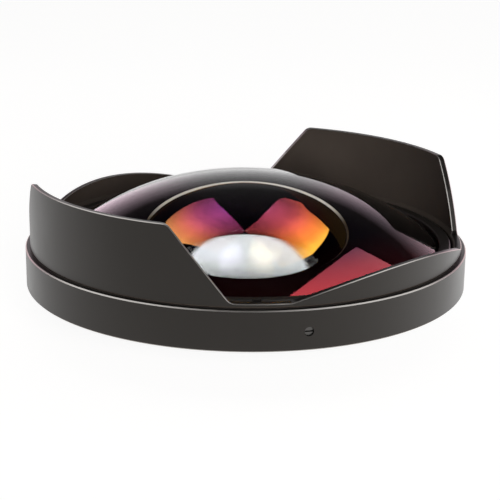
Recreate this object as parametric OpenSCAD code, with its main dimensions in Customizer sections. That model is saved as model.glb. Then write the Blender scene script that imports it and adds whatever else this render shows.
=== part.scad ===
// Screw-on fisheye lens with a petal hood, in millimetres.
// The lens stands on its camera thread, with +Z along the optical axis towards the subject.
// The tall petals lie on the Y axis and the low petals on the X axis.

/* [Band] */
// Outer diameter of the band
band_d = 128; // [110:1:150]
// Height of the band
band_h = 11.1; // [9.5:0.1:14]
// Wall of the band round the hood's skirt
band_wall = 2.2; // [1.8:0.1:3]
// Width of the bright chamfer on the band's edges
band_edge = 0.3; // [0.1:0.05:0.6]
// Width of the ledge between the band's edge and the hood
ledge = 1.35; // [1.1:0.05:1.8]
// Thickness of the barrel's floor under the hood's slot
barrel_floor = 2.7; // [1.5:0.1:3.2]
// Wall of the collar between the hood's slot and the front glass
collar_wall = 1.9; // [1.6:0.1:3]
// Height of the front glass's seat above the band's lower edge
seat_h = 5.3; // [4.8:0.1:6.5]
// Width of the front glass's seat
seat_w = 6; // [4:0.5:9]

/* [Hood] */
// Wall of the petals
hood_wall = 1.5; // [1.2:0.1:2]
// Wall of the skirt inside the band
skirt_wall = 1.55; // [1.3:0.05:2]
// Height of the tall petals above the band
tall_h = 21.2; // [16:0.2:28]
// Height of the low petals above the band
low_h = 7.7; // [5:0.1:12]
// Height of the valleys between the petals above the band
valley_h = 1.35; // [1.2:0.05:3]
// Half angle of a tall petal at its top
tall_top_angle = 26.7; // [18:0.1:32]
// Half angle of a tall petal at its foot
tall_foot_angle = 41.7; // [38:0.1:45]
// Angle from a tall petal's middle to the foot of a low petal
low_foot_angle = 56.2; // [52:0.1:62]
// Corner radius at the top of a tall petal
petal_corner_r = 3; // [1:0.5:5]
// Fillet radius at the foot of a tall petal
valley_corner_r = 3; // [1:0.5:4]
// Height of the lip that seats on the band
foot_lip = 0.25; // [0.2:0.05:0.5]
// Height and depth of the relief groove above the lip
foot_groove = 0.35; // [0.2:0.05:0.5]

/* [Set screws] */
// Number of screws that lock the hood
screw_count = 3; // [3:1:3]
// Angle of the first screw from the +X axis
screw_angle = 90; // [0:5:120]
// Thread diameter of a set screw
screw_d = 2.5; // [2:0.1:3]
// Height of the screws' axes above the band's lower edge
screw_h = 5.1; // [4.8:0.1:6]
// Depth of a screw's head below the band's surface
screw_recess = 0.5; // [0.2:0.05:0.6]
// Depth of the vee groove round the skirt
vee_depth = 0.6; // [0.4:0.05:0.8]

/* [Front glass] */
// Radius of curvature of the dome
dome_r = 92; // [80:1:120]
// Height of the front glass's edge
glass_edge = 3.8; // [3:0.1:5]
// Diameter of the bowl's rim
bowl_d = 49.2; // [48:0.1:50]
// Depth of the bowl behind the front glass
bowl_depth = 12; // [10:0.1:13]
// Width of the flat on the bowl's rim
rim_land = 0.15; // [0.1:0.05:0.3]
// Ground bevel round the bowl's rim
bowl_bevel = 0.6; // [0.4:0.05:0.8]
// Wall of the boss round the bowl
boss_wall = 11.4; // [8:0.1:14]
// Depth of the bowl's rim below the front glass's seat
boss_h = 6; // [5.5:0.1:6.4]
// Thickness of the seal under the front glass
seal_h = 0.7; // [0.4:0.1:1]
// Width of the front glass that the retaining ring covers
lip_cover = 1.5; // [1.2:0.1:2.5]
// Height of the retaining ring above the band
ring_rise = 1.3; // [0.9:0.1:2]
// Depth of the retaining ring's thread below the collar's top
ring_thread_h = 2.9; // [2:0.1:3.4]
// Angle of the retaining ring's spanner notches
ring_notch_angle = 318; // [270:1:350]
// Width of a spanner notch
notch_w = 2.5; // [1.5:0.1:4]
// Depth of a spanner notch
notch_depth = 0.8; // [0.4:0.1:0.8]

/* [Inner cell] */
// Wall of the cell
cell_wall = 2.1; // [1.8:0.1:3]
// Width of the cell's top inside the bowl's rim
rim_cover = 0.4; // [0.2:0.1:1]
// Gap between the cell's top and the bowl's rim
cell_gap = 0.3; // [0.2:0.1:0.5]
// Gap between the bowl's rim and the second glass's retaining ring
rim_gap = 0.8; // [0.6:0.1:1]
// Height of the second glass's retaining ring
second_ring_h = 1.2; // [1:0.1:1.6]
// Width of the second glass that its retaining ring covers
second_cover = 1; // [0.8:0.1:1.4]
// Slope of the retaining ring's inner face, as a width
second_ring_slope = 0.8; // [0.4:0.1:1.2]
// Front radius of curvature of the second glass
second_front_r = 150; // [120:5:250]
// Rear radius of curvature of the second glass
second_back_r = 200; // [150:5:300]
// Thickness of the second glass at its edge
second_edge = 1.8; // [1.6:0.1:2.2]
// Thickness of the light stop
stop_t = 0.2; // [0.15:0.05:0.4]
// Width of the light stop
stop_w = 0.6; // [0.5:0.05:0.8]
// Thickness of the cell's shoulder between the second glass and the pair
shoulder_h = 0.5; // [0.4:0.1:0.8]
// Wall of the cell's tail round the rear glasses
tail_wall = 1.7; // [1.5:0.1:2.2]

/* [Rear glasses] */
// Front radius of curvature of the pair
crown_r = 200; // [160:5:300]
// Radius of curvature of the cemented faces
cement_r = 200; // [180:5:300]
// Thickness of the front half of the pair at its edge
crown_edge = 1.5; // [1.2:0.1:1.8]
// Thickness of the rear half of the pair at its edge
flint_edge = 2; // [1.9:0.1:2.3]
// Height of the spacer ring
spacer_h = 0.4; // [0.3:0.05:0.6]
// Thickness of the flat last glass
last_t = 1.3; // [1:0.1:1.5]
// Height of the rear retaining ring
rear_ring_h = 1.2; // [1:0.1:1.4]
// Width of the rear rings
rear_ring_w = 0.6; // [0.5:0.1:1]

/* [Rear barrel] */
// Height of the band above the thread's end
rear_depth = 13; // [12.5:0.1:15]
// Wall of the dished shell
shell_wall = 2; // [1.5:0.1:3]
// Width of the step between the band's edge and the shell
shell_step = 4; // [2:0.5:8]
// Height of the shell's upright rim
shell_rim = 0.8; // [0.5:0.1:1.5]
// Height of the spigot inside the front barrel
spigot_h = 3.5; // [2:0.1:4.5]
// Wall of the spigot
spigot_wall = 2.4; // [1.8:0.1:4]
// Wall of the neck round the mount ring
neck_wall = 3.05; // [2:0.05:4]
// Height of the neck's upright side
neck_h = 2.3; // [2:0.1:3]
// Height of the hub that carries the cell
hub_h = 6.8; // [5.8:0.1:7.2]

/* [Mount ring] */
// Outer diameter of the camera thread
thread_d = 58; // [56:1:60]
// Length of the camera thread
thread_len = 3; // [2.5:0.1:4]
// Width of the neck's end that the flange leaves free
flange_inset = 0.5; // [0.2:0.1:1]
// Thickness of the mount ring's flange
flange_h = 1.2; // [1:0.1:2]
// Wall of the mount ring's spigot
mount_wall = 3.3; // [2.5:0.1:5]
// Height of the mount ring's spigot inside the neck
mount_spigot_h = 3; // [2.6:0.1:3.4]
// Number of grub screws that lock the mount ring
grub_count = 3; // [3:1:3]
// Thread diameter of a grub screw
grub_d = 1.6; // [1.2:0.1:2]

/* [Clearances] */
// Radial running clearance of the hood in the band
hood_fit = 0.05; // [0.02:0.01:0.1]
// Gap between the hood's skirt and the collar, and below the skirt
skirt_gap = 0.3; // [0.2:0.05:0.5]
// Gap between the hood's lip and the band
hood_seat_gap = 0.05; // [0.02:0.01:0.1]
// Radial clearance round a glass
glass_fit = 0.2; // [0.1:0.05:0.3]
// Radial clearance of threads and spigots
thread_fit = 0.05; // [0.02:0.01:0.1]
// Gap between a glass and the ring that holds it
seat_gap = 0.1; // [0.05:0.01:0.15]
// Gap between a set screw's point and the vee groove
point_gap = 0.1; // [0.05:0.01:0.2]

/* [Hidden] */
$fn = 144;

// How far a cutter reaches past the face that it opens
past = 1;
// Number of steps in a rounded corner of a petal
arc_steps = 8;
// Number of steps round the large circles of the glasses
cap_steps = 250;

// Height of a spherical cap of radius r over a circle of radius c
function sag(r, c) = r - sqrt(r * r - c * c);

// Height of a cap of radius r between its circle c and the circle that lies w further in
function sag_edge(r, c, w) = sag(r, c) - sag(r, c - w);

// Radius of the sphere, or of the arc, with a cap of height h over a half width c
function sphere_for(c, h) = (c * c + h * h) / (2 * h);

// A length's direction, as a vector of length one
function unit(v) = v / norm(v);

// Distance from a corner to where a rounding of radius r touches its sides, along directions u and v
function touch(u, v, r) = r / tan(acos(u * v) / 2);

// Centre of the rounding of radius r at the corner p, between sides along u and v
function round_centre(p, u, v, r) = p + unit(u + v) * r / sin(acos(u * v) / 2);

// Points of an arc of radius r round the centre c, from angle a0 to a1
function arc(c, r, a0, a1) = [for (i = [0 : arc_steps])
    let (a = a0 + (a1 - a0) * i / arc_steps) c + r * [cos(a), sin(a)]];

// Heights, from the thread's end upwards
flange_z = thread_len;
neck_z = flange_z + flange_h;
hub_z = neck_z + hub_h;
band_z = rear_depth;
band_top = band_z + band_h;
seat_z = band_z + seat_h;
glass_z = seat_z + seal_h;
edge_z = glass_z + glass_edge;
bowl_z = glass_z - boss_h;
screw_z = band_z + screw_h;

// Radii of the band, the hood's skirt, the collar and the front glass, from outside to inside
band_r = band_d / 2;
bore_r = band_r - band_wall;
skirt_r = bore_r - hood_fit;
skirt_in = skirt_r - skirt_wall;
collar_r = skirt_in - skirt_gap;
collar_in = collar_r - collar_wall;
glass_r = collar_in - glass_fit;
seat_in = glass_r - seat_w;
hood_r = band_r - ledge;
hood_in = hood_r - hood_wall;

// Retaining ring of the front glass
ring_thread_r = (collar_r + collar_in) / 2;
ring_inset = 0.35;
ring_r = collar_r - ring_inset;
lip_r = glass_r - lip_cover;
ring_z = band_top + hood_seat_gap;
ring_top = band_top + ring_rise;

// Front glass, with the dome set by its edge under the ring
dome_z = edge_z + sag(dome_r, glass_r);
bowl_r = bowl_d / 2;
bowl_sphere_r = sphere_for(bowl_r, bowl_depth);
rim_r = bowl_r + rim_land;
boss_r = bowl_r + boss_wall;
boss_z = bowl_z + bowl_bevel;

// Inner cell, downwards from the front glass
cell_bore_r = bowl_r - rim_cover;
cell_r = cell_bore_r + cell_wall;
cell_top = bowl_z - cell_gap;
second_ring_r = cell_bore_r - thread_fit;
second_step = 1.55;
second_r = second_ring_r - second_step;
second_clear_r = second_r - second_cover;
second_ring_top = bowl_z - rim_gap;
second_ring_z = second_ring_top - second_ring_h;
second_top = second_ring_z - seat_gap;
second_z = second_top - second_edge;
second_apex = second_top + sag(second_front_r, second_clear_r);
stop_r = second_r - stop_w;
stop_z = second_z - stop_t;
shoulder_inset = 0.2;
shoulder_r = stop_r + shoulder_inset;
shoulder_z = stop_z - shoulder_h;

// Rear glasses, further down
rear_bore_r = cell_r - tail_wall;
rear_r = rear_bore_r - glass_fit / 2;
crown_top = shoulder_z - seat_gap - sag_edge(crown_r, rear_r, rear_r - shoulder_r);
cement_z = crown_top - crown_edge;
flint_z = cement_z - flint_edge;
spacer_z = flint_z - seat_gap - spacer_h;
last_z = spacer_z - last_t;
rear_ring_z = last_z - seat_gap - rear_ring_h;
tail_z = rear_ring_z - seat_gap;
cement_gap = 0.02;
// Height of the centre of the cemented faces
cement_mid = cement_z - sag(cement_r, rear_r) + cement_r;
rear_notch_w = 1.4;

// Hood
hood_z = band_top + hood_seat_gap;
skirt_z = band_z + barrel_floor + skirt_gap;
tall_z = band_top + tall_h;
low_z = band_top + low_h;
valley_z = band_top + valley_h;
step_z = band_top + ring_rise - foot_groove;
// The upper corner's rounding starts this far below the petal's top, to meet it at a clear edge
corner_dip = 0.02;
valley_angle = (tall_foot_angle + low_foot_angle) / 2;
low_half = hood_r * cos(low_foot_angle);
low_arc_r = sphere_for(low_half, low_z - valley_z);

// Set screws
vee_r = skirt_r - vee_depth;
screw_r = screw_d / 2 - thread_fit;
screw_point = vee_r + point_gap;
screw_head = band_r - screw_recess;
slot_w = 0.4;
slot_depth = 0.5;

// Rear barrel
shell_r = band_r - shell_step;
mount_bore_r = cell_r + skirt_gap;
mount_spigot_r = mount_bore_r + mount_wall;
neck_r = mount_spigot_r + thread_fit + neck_wall;
neck_top = neck_z + neck_h;
rim_z = band_z - shell_rim;
dish_z = ((shell_r * shell_r - neck_r * neck_r) / (rim_z - neck_top) + rim_z + neck_top) / 2;
dish_r = norm([shell_r, dish_z - rim_z]);
spigot_r = seat_in - thread_fit;
spigot_in = spigot_r - spigot_wall;
mount_seat_z = neck_z + mount_spigot_h;

// Grub screws of the mount ring
grub_z = neck_z + mount_spigot_h / 2;
grub_r = grub_d / 2 - thread_fit;
grub_recess = 0.5;

// Finishes
anodised = [0.13, 0.12, 0.12];
inner_black = [0.07, 0.07, 0.07];
steel_black = [0.10, 0.10, 0.11];
clear_glass = [0.55, 0.62, 0.70, 0.5];
coated_glass = [0.75, 0.35, 0.45, 0.6];
rubber_black = [0.05, 0.05, 0.05];

// Revolves a profile drawn with its radius along X and its height along Y
module turned() {
    rotate_extrude() children();
}

// Profile of a plain ring from radius r0 to r1 and from height z0 to z1
module ring_profile(r0, r1, z0, z1) {
    translate([r0, z0]) square([r1 - r0, z1 - z0]);
}

// Places a child at an angle, with its own X axis pointing out from the lens's axis
module at_angle(angle, z) {
    rotate([0, 0, angle]) translate([0, 0, z]) children();
}

// A round bar along X from r0 to r1
module radial_bar(r, r0, r1) {
    translate([r0, 0, 0]) rotate([0, 90, 0]) cylinder(r = r, h = r1 - r0);
}

// Half plane of a sphere's profile, cut at the lens's axis, for a sphere of radius r with its top at z
module cap_profile(r, z) {
    intersection() {
        translate([0, z - r]) circle(r, $fn = cap_steps);
        translate([0, z - 2 * r]) square([r, 2 * r]);
    }
}

module front_barrel() {
    color(anodised)
    difference() {
        turned() polygon([
            [seat_in, band_z], [band_r - band_edge, band_z], [band_r, band_z + band_edge],
            [band_r, band_top - band_edge], [band_r - band_edge, band_top], [bore_r, band_top],
            [bore_r, band_z + barrel_floor], [collar_r, band_z + barrel_floor], [collar_r, band_top],
            [ring_thread_r, band_top], [ring_thread_r, band_top - ring_thread_h - seat_gap],
            [collar_in, band_top - ring_thread_h - seat_gap], [collar_in, seat_z], [seat_in, seat_z]
        ]);
        for (i = [0 : screw_count - 1])
            at_angle(screw_angle + i * 360 / screw_count, screw_z)
                radial_bar(screw_d / 2, bore_r - skirt_gap, band_r + past);
    }
}

// Outline of the hood before the petals are cut, with its skirt and the vee groove for the screws
module hood_profile() {
    polygon([
        [skirt_in, skirt_z], [skirt_r, skirt_z], [skirt_r, screw_z - vee_depth], [vee_r, screw_z],
        [skirt_r, screw_z + vee_depth], [skirt_r, hood_z], [hood_r, hood_z], [hood_r, hood_z + foot_lip],
        [hood_r - foot_groove, hood_z + foot_lip], [hood_r - foot_groove, hood_z + foot_lip + foot_groove],
        [hood_r, hood_z + foot_lip + foot_groove], [hood_r, tall_z], [hood_in, tall_z],
        [hood_in, step_z + hood_in - skirt_in], [skirt_in, step_z]
    ]);
}

// What is cut away over one valley, seen from inside with the tall petal on the left
module valley_shape() {
    right = hood_r * sin(low_foot_angle - valley_angle);
    foot = [hood_r * sin(tall_foot_angle - valley_angle), valley_z];
    corner = [hood_r * sin(tall_top_angle - valley_angle), tall_z];
    up = unit(corner - foot);
    along = [1, 0];
    lean = atan2(-up[0], up[1]);
    corner_reach = touch(-up, -along, petal_corner_r);
    corner_start = 90 - acos(1 - corner_dip / petal_corner_r);
    polygon(concat(
        [[right, valley_z], [right, tall_z + past], corner + [-corner_reach, past]],
        arc(round_centre(corner, -up, -along, petal_corner_r), petal_corner_r, corner_start, lean),
        arc(round_centre(foot, up, along, valley_corner_r), valley_corner_r, 180 + lean, 270)
    ));
}

// What is cut away over the low petals: everything above the valleys' floor, less the arch of a petal
module low_shape() {
    reach = low_half + skirt_gap;
    difference() {
        translate([-reach, valley_z]) square([2 * reach, tall_z + past - valley_z]);
        translate([0, low_z - low_arc_r]) circle(low_arc_r);
    }
}

module hood() {
    color(anodised)
    difference() {
        turned() hood_profile();
        for (side = [0, 180], flip = [0, 1])
            rotate([0, 0, side]) mirror([flip, 0, 0]) rotate([90, 0, -valley_angle])
                translate([0, 0, -band_r]) linear_extrude(height = band_r / 2) valley_shape();
        rotate([90, 0, 90])
            linear_extrude(height = band_d, center = true) low_shape();
    }
}

module set_screw(i) {
    color(steel_black)
    at_angle(screw_angle + i * 360 / screw_count, screw_z)
        difference() {
            rotate([0, 90, 0]) turned() polygon([
                [0, screw_point], [point_gap, screw_point], [screw_r, screw_point + screw_r - point_gap],
                [screw_r, screw_head], [0, screw_head]
            ]);
            translate([screw_head - slot_depth, -slot_w / 2, -screw_d])
                cube([slot_depth + past, slot_w, 2 * screw_d]);
        }
}

// Outline of the front glass before the bowl is cut, with the boss and the raised rim below its flat back
module front_blank() {
    intersection() {
        cap_profile(dome_r, dome_z);
        polygon([
            [0, bowl_z], [rim_r, bowl_z], [rim_r + bowl_bevel, boss_z], [boss_r, boss_z], [boss_r, glass_z],
            [glass_r, glass_z], [glass_r, dome_z + past], [0, dome_z + past]
        ]);
    }
}

module front_element() {
    color(clear_glass)
    turned() difference() {
        front_blank();
        cap_profile(bowl_sphere_r, bowl_z + bowl_depth);
    }
}

module front_seal() {
    color(rubber_black)
    turned() ring_profile(seat_in + seal_h, glass_r - glass_fit, seat_z, glass_z);
}

module front_retaining_ring() {
    // Where the dome lies under the ring's lip, with the gap to the glass added
    lip_z = dome_z - sag(dome_r, lip_r) + seat_gap;
    foot_z = edge_z + seat_gap;
    color(anodised)
    difference() {
        turned() polygon([
            [lip_r, lip_z], [glass_r, foot_z], [collar_in, foot_z], [collar_in, band_top - ring_thread_h],
            [ring_thread_r - thread_fit, band_top - ring_thread_h], [ring_thread_r - thread_fit, ring_z],
            [ring_r, ring_z], [ring_r, ring_top - ring_inset], [ring_r - ring_inset, ring_top],
            [lip_r + ring_inset, ring_top], [lip_r, ring_top - ring_inset]
        ]);
        for (turn = [0, 180])
            at_angle(ring_notch_angle + turn, ring_top - notch_depth)
                translate([collar_in, -notch_w / 2, 0])
                    cube([ring_r - collar_in + past, notch_w, notch_depth + past]);
    }
}

// Profile of the dished shell between two concentric spheres, the spigot, and the hub round the cell
module rear_profile() {
    difference() {
        union() {
            intersection() {
                translate([0, dish_z]) difference() {
                    circle(dish_r);
                    circle(dish_r - shell_wall);
                }
                ring_profile(neck_r - shell_wall, shell_r, neck_z, band_z);
            }
            ring_profile(spigot_in, shell_r, rim_z, band_z);
            ring_profile(spigot_in, spigot_r, rim_z, band_z + spigot_h);
            ring_profile(cell_r + thread_fit, neck_r, neck_z, hub_z);
        }
        ring_profile(cell_r, mount_spigot_r + thread_fit, neck_z - past, mount_seat_z);
    }
}

module rear_barrel() {
    color(anodised)
    difference() {
        turned() rear_profile();
        for (i = [0 : grub_count - 1])
            at_angle(grub_angle(i), grub_z)
                radial_bar(grub_d / 2, mount_spigot_r - thread_fit, neck_r + past);
    }
}

// The grub screws lie midway between the hood's screws
function grub_angle(i) = screw_angle + (i + 0.5) * 360 / grub_count;

module inner_cell() {
    color(inner_black)
    turned() difference() {
        ring_profile(rear_r - rear_ring_w, cell_r, tail_z, cell_top);
        ring_profile(0, cell_bore_r, second_top, cell_top + past);
        ring_profile(0, second_r + glass_fit / 2, stop_z, second_top + past);
        ring_profile(0, shoulder_r, shoulder_z, stop_z + past);
        ring_profile(0, rear_bore_r, tail_z - past, shoulder_z);
    }
}

module light_stop() {
    color(inner_black)
    turned() ring_profile(stop_r, second_r, stop_z, second_z);
}

module second_element() {
    color(coated_glass)
    turned() difference() {
        intersection() {
            cap_profile(second_front_r, second_apex);
            ring_profile(0, second_r, second_z, second_apex + past);
        }
        cap_profile(second_back_r, second_z + sag(second_back_r, second_r));
    }
}

module second_retaining_ring() {
    color(inner_black)
    turned() polygon([
        [second_clear_r, second_ring_z], [second_ring_r, second_ring_z], [second_ring_r, second_ring_top],
        [second_clear_r + second_ring_slope, second_ring_top]
    ]);
}

module doublet_crown() {
    color(clear_glass)
    turned() intersection() {
        cap_profile(crown_r, crown_top + sag(crown_r, rear_r));
        translate([0, cement_mid]) circle(cement_r, $fn = cap_steps);
        ring_profile(0, rear_r, cement_z - rear_r, crown_top + rear_r);
    }
}

module doublet_flint() {
    color(clear_glass)
    turned() difference() {
        ring_profile(0, rear_r, flint_z, cement_z);
        translate([0, cement_mid - cement_gap]) circle(cement_r, $fn = cap_steps);
    }
}

module rear_spacer() {
    color(inner_black)
    turned() ring_profile(rear_r - rear_ring_w, rear_r, spacer_z, spacer_z + spacer_h);
}

module rear_element() {
    color(clear_glass)
    turned() polygon([
        [0, last_z], [rear_r - glass_fit, last_z], [rear_r, last_z + glass_fit],
        [rear_r, spacer_z - glass_fit], [rear_r - glass_fit, spacer_z], [0, spacer_z]
    ]);
}

module rear_retaining_ring() {
    color(inner_black)
    difference() {
        turned() ring_profile(rear_r - rear_ring_w, rear_r, rear_ring_z, rear_ring_z + rear_ring_h);
        for (turn = [0, 180])
            at_angle(turn, rear_ring_z - past)
                translate([rear_r - 2 * rear_ring_w, -rear_notch_w / 2, 0])
                    cube([rear_ring_w * 3, rear_notch_w, notch_depth + past]);
    }
}

module mount_ring() {
    color(anodised)
    turned() {
        ring_profile(mount_bore_r, thread_d / 2, 0, flange_z);
        ring_profile(mount_bore_r, neck_r - flange_inset, flange_z, neck_z);
        ring_profile(mount_bore_r, mount_spigot_r, neck_z, mount_seat_z - seat_gap);
    }
}

module mount_ring_screws() {
    color(steel_black)
    for (i = [0 : grub_count - 1])
        at_angle(grub_angle(i), grub_z)
            radial_bar(grub_r, mount_spigot_r + thread_fit, neck_r - grub_recess);
}

front_barrel();
hood();
set_screw(0);  // set_screw_1
set_screw(1);  // set_screw_2
set_screw(2);  // set_screw_3
front_element();
front_seal();
front_retaining_ring();
rear_barrel();
inner_cell();
light_stop();
second_element();
second_retaining_ring();
doublet_crown();
doublet_flint();
rear_spacer();
rear_element();
rear_retaining_ring();
mount_ring();
mount_ring_screws();
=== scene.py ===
"""Fisheye lens with a petal hood: its looks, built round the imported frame.

Sizes are in millimetres and meshes in metres. The lens stands on its thread's end, with +Z to the subject.
"""

import logging
import math
from dataclasses import dataclass
from enum import Enum
from typing import Sequence

import bmesh
import bpy
import numpy as np
from mathutils import Matrix, Vector


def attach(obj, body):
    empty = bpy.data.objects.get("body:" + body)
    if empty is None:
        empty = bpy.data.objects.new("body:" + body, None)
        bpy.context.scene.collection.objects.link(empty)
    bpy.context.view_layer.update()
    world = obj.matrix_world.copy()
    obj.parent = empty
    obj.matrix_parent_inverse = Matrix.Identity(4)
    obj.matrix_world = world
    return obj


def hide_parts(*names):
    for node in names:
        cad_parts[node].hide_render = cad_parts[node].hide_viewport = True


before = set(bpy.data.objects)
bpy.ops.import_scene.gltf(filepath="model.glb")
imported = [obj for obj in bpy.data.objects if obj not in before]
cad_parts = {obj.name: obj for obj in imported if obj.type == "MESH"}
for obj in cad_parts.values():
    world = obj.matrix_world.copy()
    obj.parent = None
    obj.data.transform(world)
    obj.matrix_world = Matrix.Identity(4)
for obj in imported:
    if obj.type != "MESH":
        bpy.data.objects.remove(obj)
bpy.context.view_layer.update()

MM = 0.001
FULL_TURN = 2.0 * math.pi
TURNED_COLUMNS = 192
GLASS_COLUMNS = 256
MERGE_WITHIN = 1e-7
COLLAPSE_WITHIN = 1e-8
SHORT_SIDE_SHARE = 0.4
NOTCH_CLEAR = 1.2
NOTCH_WALL = 1.0001
BUMP_DEPTH = 0.00002
GRAIN_FINENESS = 9000.0
GRAIN_DRIFT = 60.0
SPECKLE_SHARE = 0.35
MARK_FINENESS = 6000.0
EVEN_BLEND = 0.5
WHITE = (1.0, 1.0, 1.0, 1.0)
LOG = logging.getLogger("fisheye_lens")

# Level directions of the camera, to its right and away from it, and the upright.
RIGHT = Vector((math.sqrt(0.5), math.sqrt(0.5), 0.0))
AWAY = Vector((-math.sqrt(0.5), math.sqrt(0.5), 0.0))
UP = Vector((0.0, 0.0, 1.0))

Colour = tuple[float, float, float]
Outline = tuple[tuple[float, ...], ...]
Rows = Sequence[Sequence[float]] | np.ndarray
Pieces = list[bpy.types.Object]
Socket = bpy.types.NodeSocket
Input = Socket | float | Sequence[float]


class Slot(Enum):
    """Material slots of the record."""

    BAND = "anodised_band"
    HOOD = "anodised_hood"
    INNER = "inner_black"
    STEEL = "blackened_steel"
    FRONT_GLASS = "front_glass"
    COATING = "coated_glass"
    REAR_GLASS = "rear_glass"
    SEAL = "seal_rubber"


class Body(Enum):
    """Bodies that the pieces ride on."""

    BARREL = "barrel"
    HOOD = "hood"
    SCREW_1 = "set_screw_1"
    SCREW_2 = "set_screw_2"
    SCREW_3 = "set_screw_3"


class Ray(Enum):
    """Kinds of ray, of which a studio panel lights one."""

    MATT = "diffuse"
    MIRRORED = "glossy"
    THROUGH_GLASS = "transmission"


@dataclass
class Surface:
    """A mesh as arrays: points in millimetres, quads of point numbers, and a finish number for each quad."""

    points: np.ndarray
    quads: np.ndarray
    tags: np.ndarray

    @staticmethod
    def joined(parts: Sequence["Surface"]) -> "Surface":
        """Puts several surfaces into one.

        Args:
            parts: Surfaces to join, in order.

        Returns:
            One surface with all their points and quads.
        """
        starts = np.cumsum([0] + [len(p.points) for p in parts[:-1]])
        return Surface(
            np.concatenate([p.points for p in parts]),
            np.concatenate([p.quads + s for p, s in zip(parts, starts)]),
            np.concatenate([p.tags for p in parts]),
        )


def cap_sag(radius: float, reach: float) -> float:
    """Gives the fall of a sphere at a distance from its axis: the radius less the sphere's height there."""
    return radius - math.sqrt(radius * radius - reach * reach)


def cap_rows(radius: float, top: float, start: float, end: float, steps: int) -> np.ndarray:
    """Gives rows of a cap's profile, at equal angles round the sphere's centre.

    Args:
        radius: Radius of the sphere.
        top: Height of the sphere's top.
        start: Distance from the axis at which the profile starts.
        end: Distance from the axis at which it ends.
        steps: Number of rows.

    Returns:
        Radius and height of each row.
    """
    angle = np.linspace(math.asin(start / radius), math.asin(end / radius), steps)
    return np.stack([radius * np.sin(angle), top - radius + radius * np.cos(angle)], -1)


def wall_rows(radius: float, start: float, end: float, steps: int) -> np.ndarray:
    """Gives rows of an upright wall: one radius, at equal steps of height.

    Args:
        radius: Radius of the wall.
        start: Height of the first row.
        end: Height of the last row.
        steps: Number of steps from the first to the last.

    Returns:
        Radius and height of each row.
    """
    return np.stack([np.full(steps + 1, radius), np.linspace(start, end, steps + 1)], -1)


def box_rows(inner: float, outer: float, foot: float, top: float) -> Rows:
    """Gives the four corners of a square-cut ring's section."""
    return [[inner, foot], [outer, foot], [outer, top], [inner, top]]


def grid_surface(points: np.ndarray, tags: np.ndarray | None = None, closed: bool = True) -> Surface:
    """Joins a grid of points into quads, round each row and from each row to the next.

    Args:
        points: Points by row and column.
        tags: Finish number of the quads after each row, or none where there is one finish.
        closed: Whether the last row joins the first.

    Returns:
        The surface of the grid.
    """
    rows, columns = points.shape[:2]
    row_tags = np.zeros(rows, int) if tags is None else tags
    row, column = np.meshgrid(np.arange(rows if closed else rows - 1), np.arange(columns), indexing="ij")
    here, there = row * columns, (row + 1) % rows * columns
    after = (column + 1) % columns
    quads = np.stack([here + column, there + column, there + after, here + after], -1)
    return Surface(points.reshape(-1, 3), quads.reshape(-1, 4), np.repeat(row_tags[: len(row)], columns))


def turned_points(profile: np.ndarray, angle: np.ndarray) -> np.ndarray:
    """Carries a profile round the axis: x is radius times cosine, y is radius times sine, z is the height.

    Args:
        profile: Radius and height of each row, or of each row and column.
        angle: Angle of each column.

    Returns:
        Points by row and column.
    """
    whole = profile if profile.ndim == 3 else np.repeat(profile[:, None, :], len(angle), 1)
    radius, height = whole[..., 0], whole[..., 1]
    return np.stack([radius * np.cos(angle), radius * np.sin(angle), height], -1)


def turned(profile: Rows, tags: np.ndarray | None = None, columns: int = TURNED_COLUMNS,
           closed: bool = True) -> Surface:
    """Turns a profile of radius and height about the lens's axis.

    Args:
        profile: Radius and height of each row.
        tags: Finish number after each row, or none where there is one finish.
        columns: Number of steps round the axis.
        closed: Whether the profile's end joins its start.

    Returns:
        The turned surface.
    """
    angle = np.linspace(0.0, FULL_TURN, columns, endpoint=False)
    return grid_surface(turned_points(np.asarray(profile, float), angle), tags, closed)


def eased(profile: Rows, size: float, steps: int = 3) -> np.ndarray:
    """Rounds each corner of a closed profile with a curve that leaves one side and arrives on the other.

    Each corner C becomes (1-t)(1-t) A + 2t(1-t) C + t t B, with A and B on its sides at the given distance.

    Args:
        profile: Radius and height of each corner.
        size: Distance from a corner at which its rounding starts, or less on a short side.
        steps: Number of points on each rounding.

    Returns:
        The rounded profile.
    """
    corner = np.asarray(profile, float)
    before, after = np.roll(corner, 1, 0) - corner, np.roll(corner, -1, 0) - corner
    far_before = np.linalg.norm(before, axis=1, keepdims=True)
    far_after = np.linalg.norm(after, axis=1, keepdims=True)
    reach = np.minimum(size, SHORT_SIDE_SHARE * np.minimum(far_before, far_after))
    a = (corner + before / far_before * reach)[:, None, :]
    b = (corner + after / far_after * reach)[:, None, :]
    t = np.linspace(0.0, 1.0, steps)[None, :, None]
    return ((1 - t) ** 2 * a + 2 * t * (1 - t) * corner[:, None, :] + t ** 2 * b).reshape(-1, 2)


def notch_columns(centres: np.ndarray, half: float, plain: int, steps: int) -> tuple[np.ndarray, np.ndarray]:
    """Gives the columns of a notched ring: plain ones, each notch's own, and one just past each of its walls.

    Args:
        centres: Angle of each notch's middle.
        half: Half of a notch's angle.
        plain: Number of plain columns, before those near a notch are left out.
        steps: Number of columns across a notch.

    Returns:
        The angle of each column in order, and whether it lies in a notch.
    """
    even = np.linspace(0.0, FULL_TURN, plain, endpoint=False)
    away = np.abs((even[:, None] - centres + math.pi) % FULL_TURN - math.pi).min(1)
    kept = even[away > half * NOTCH_CLEAR]
    cut = (centres[:, None] + np.linspace(-half, half, steps)).ravel()
    wall = (centres[:, None] + np.array([-half, half]) * NOTCH_WALL).ravel()
    angle = np.concatenate([kept, cut, wall])
    notched = np.repeat([False, True, False], [len(kept), len(cut), len(wall)])
    order = np.argsort(angle % FULL_TURN)
    return angle[order], notched[order]


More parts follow.
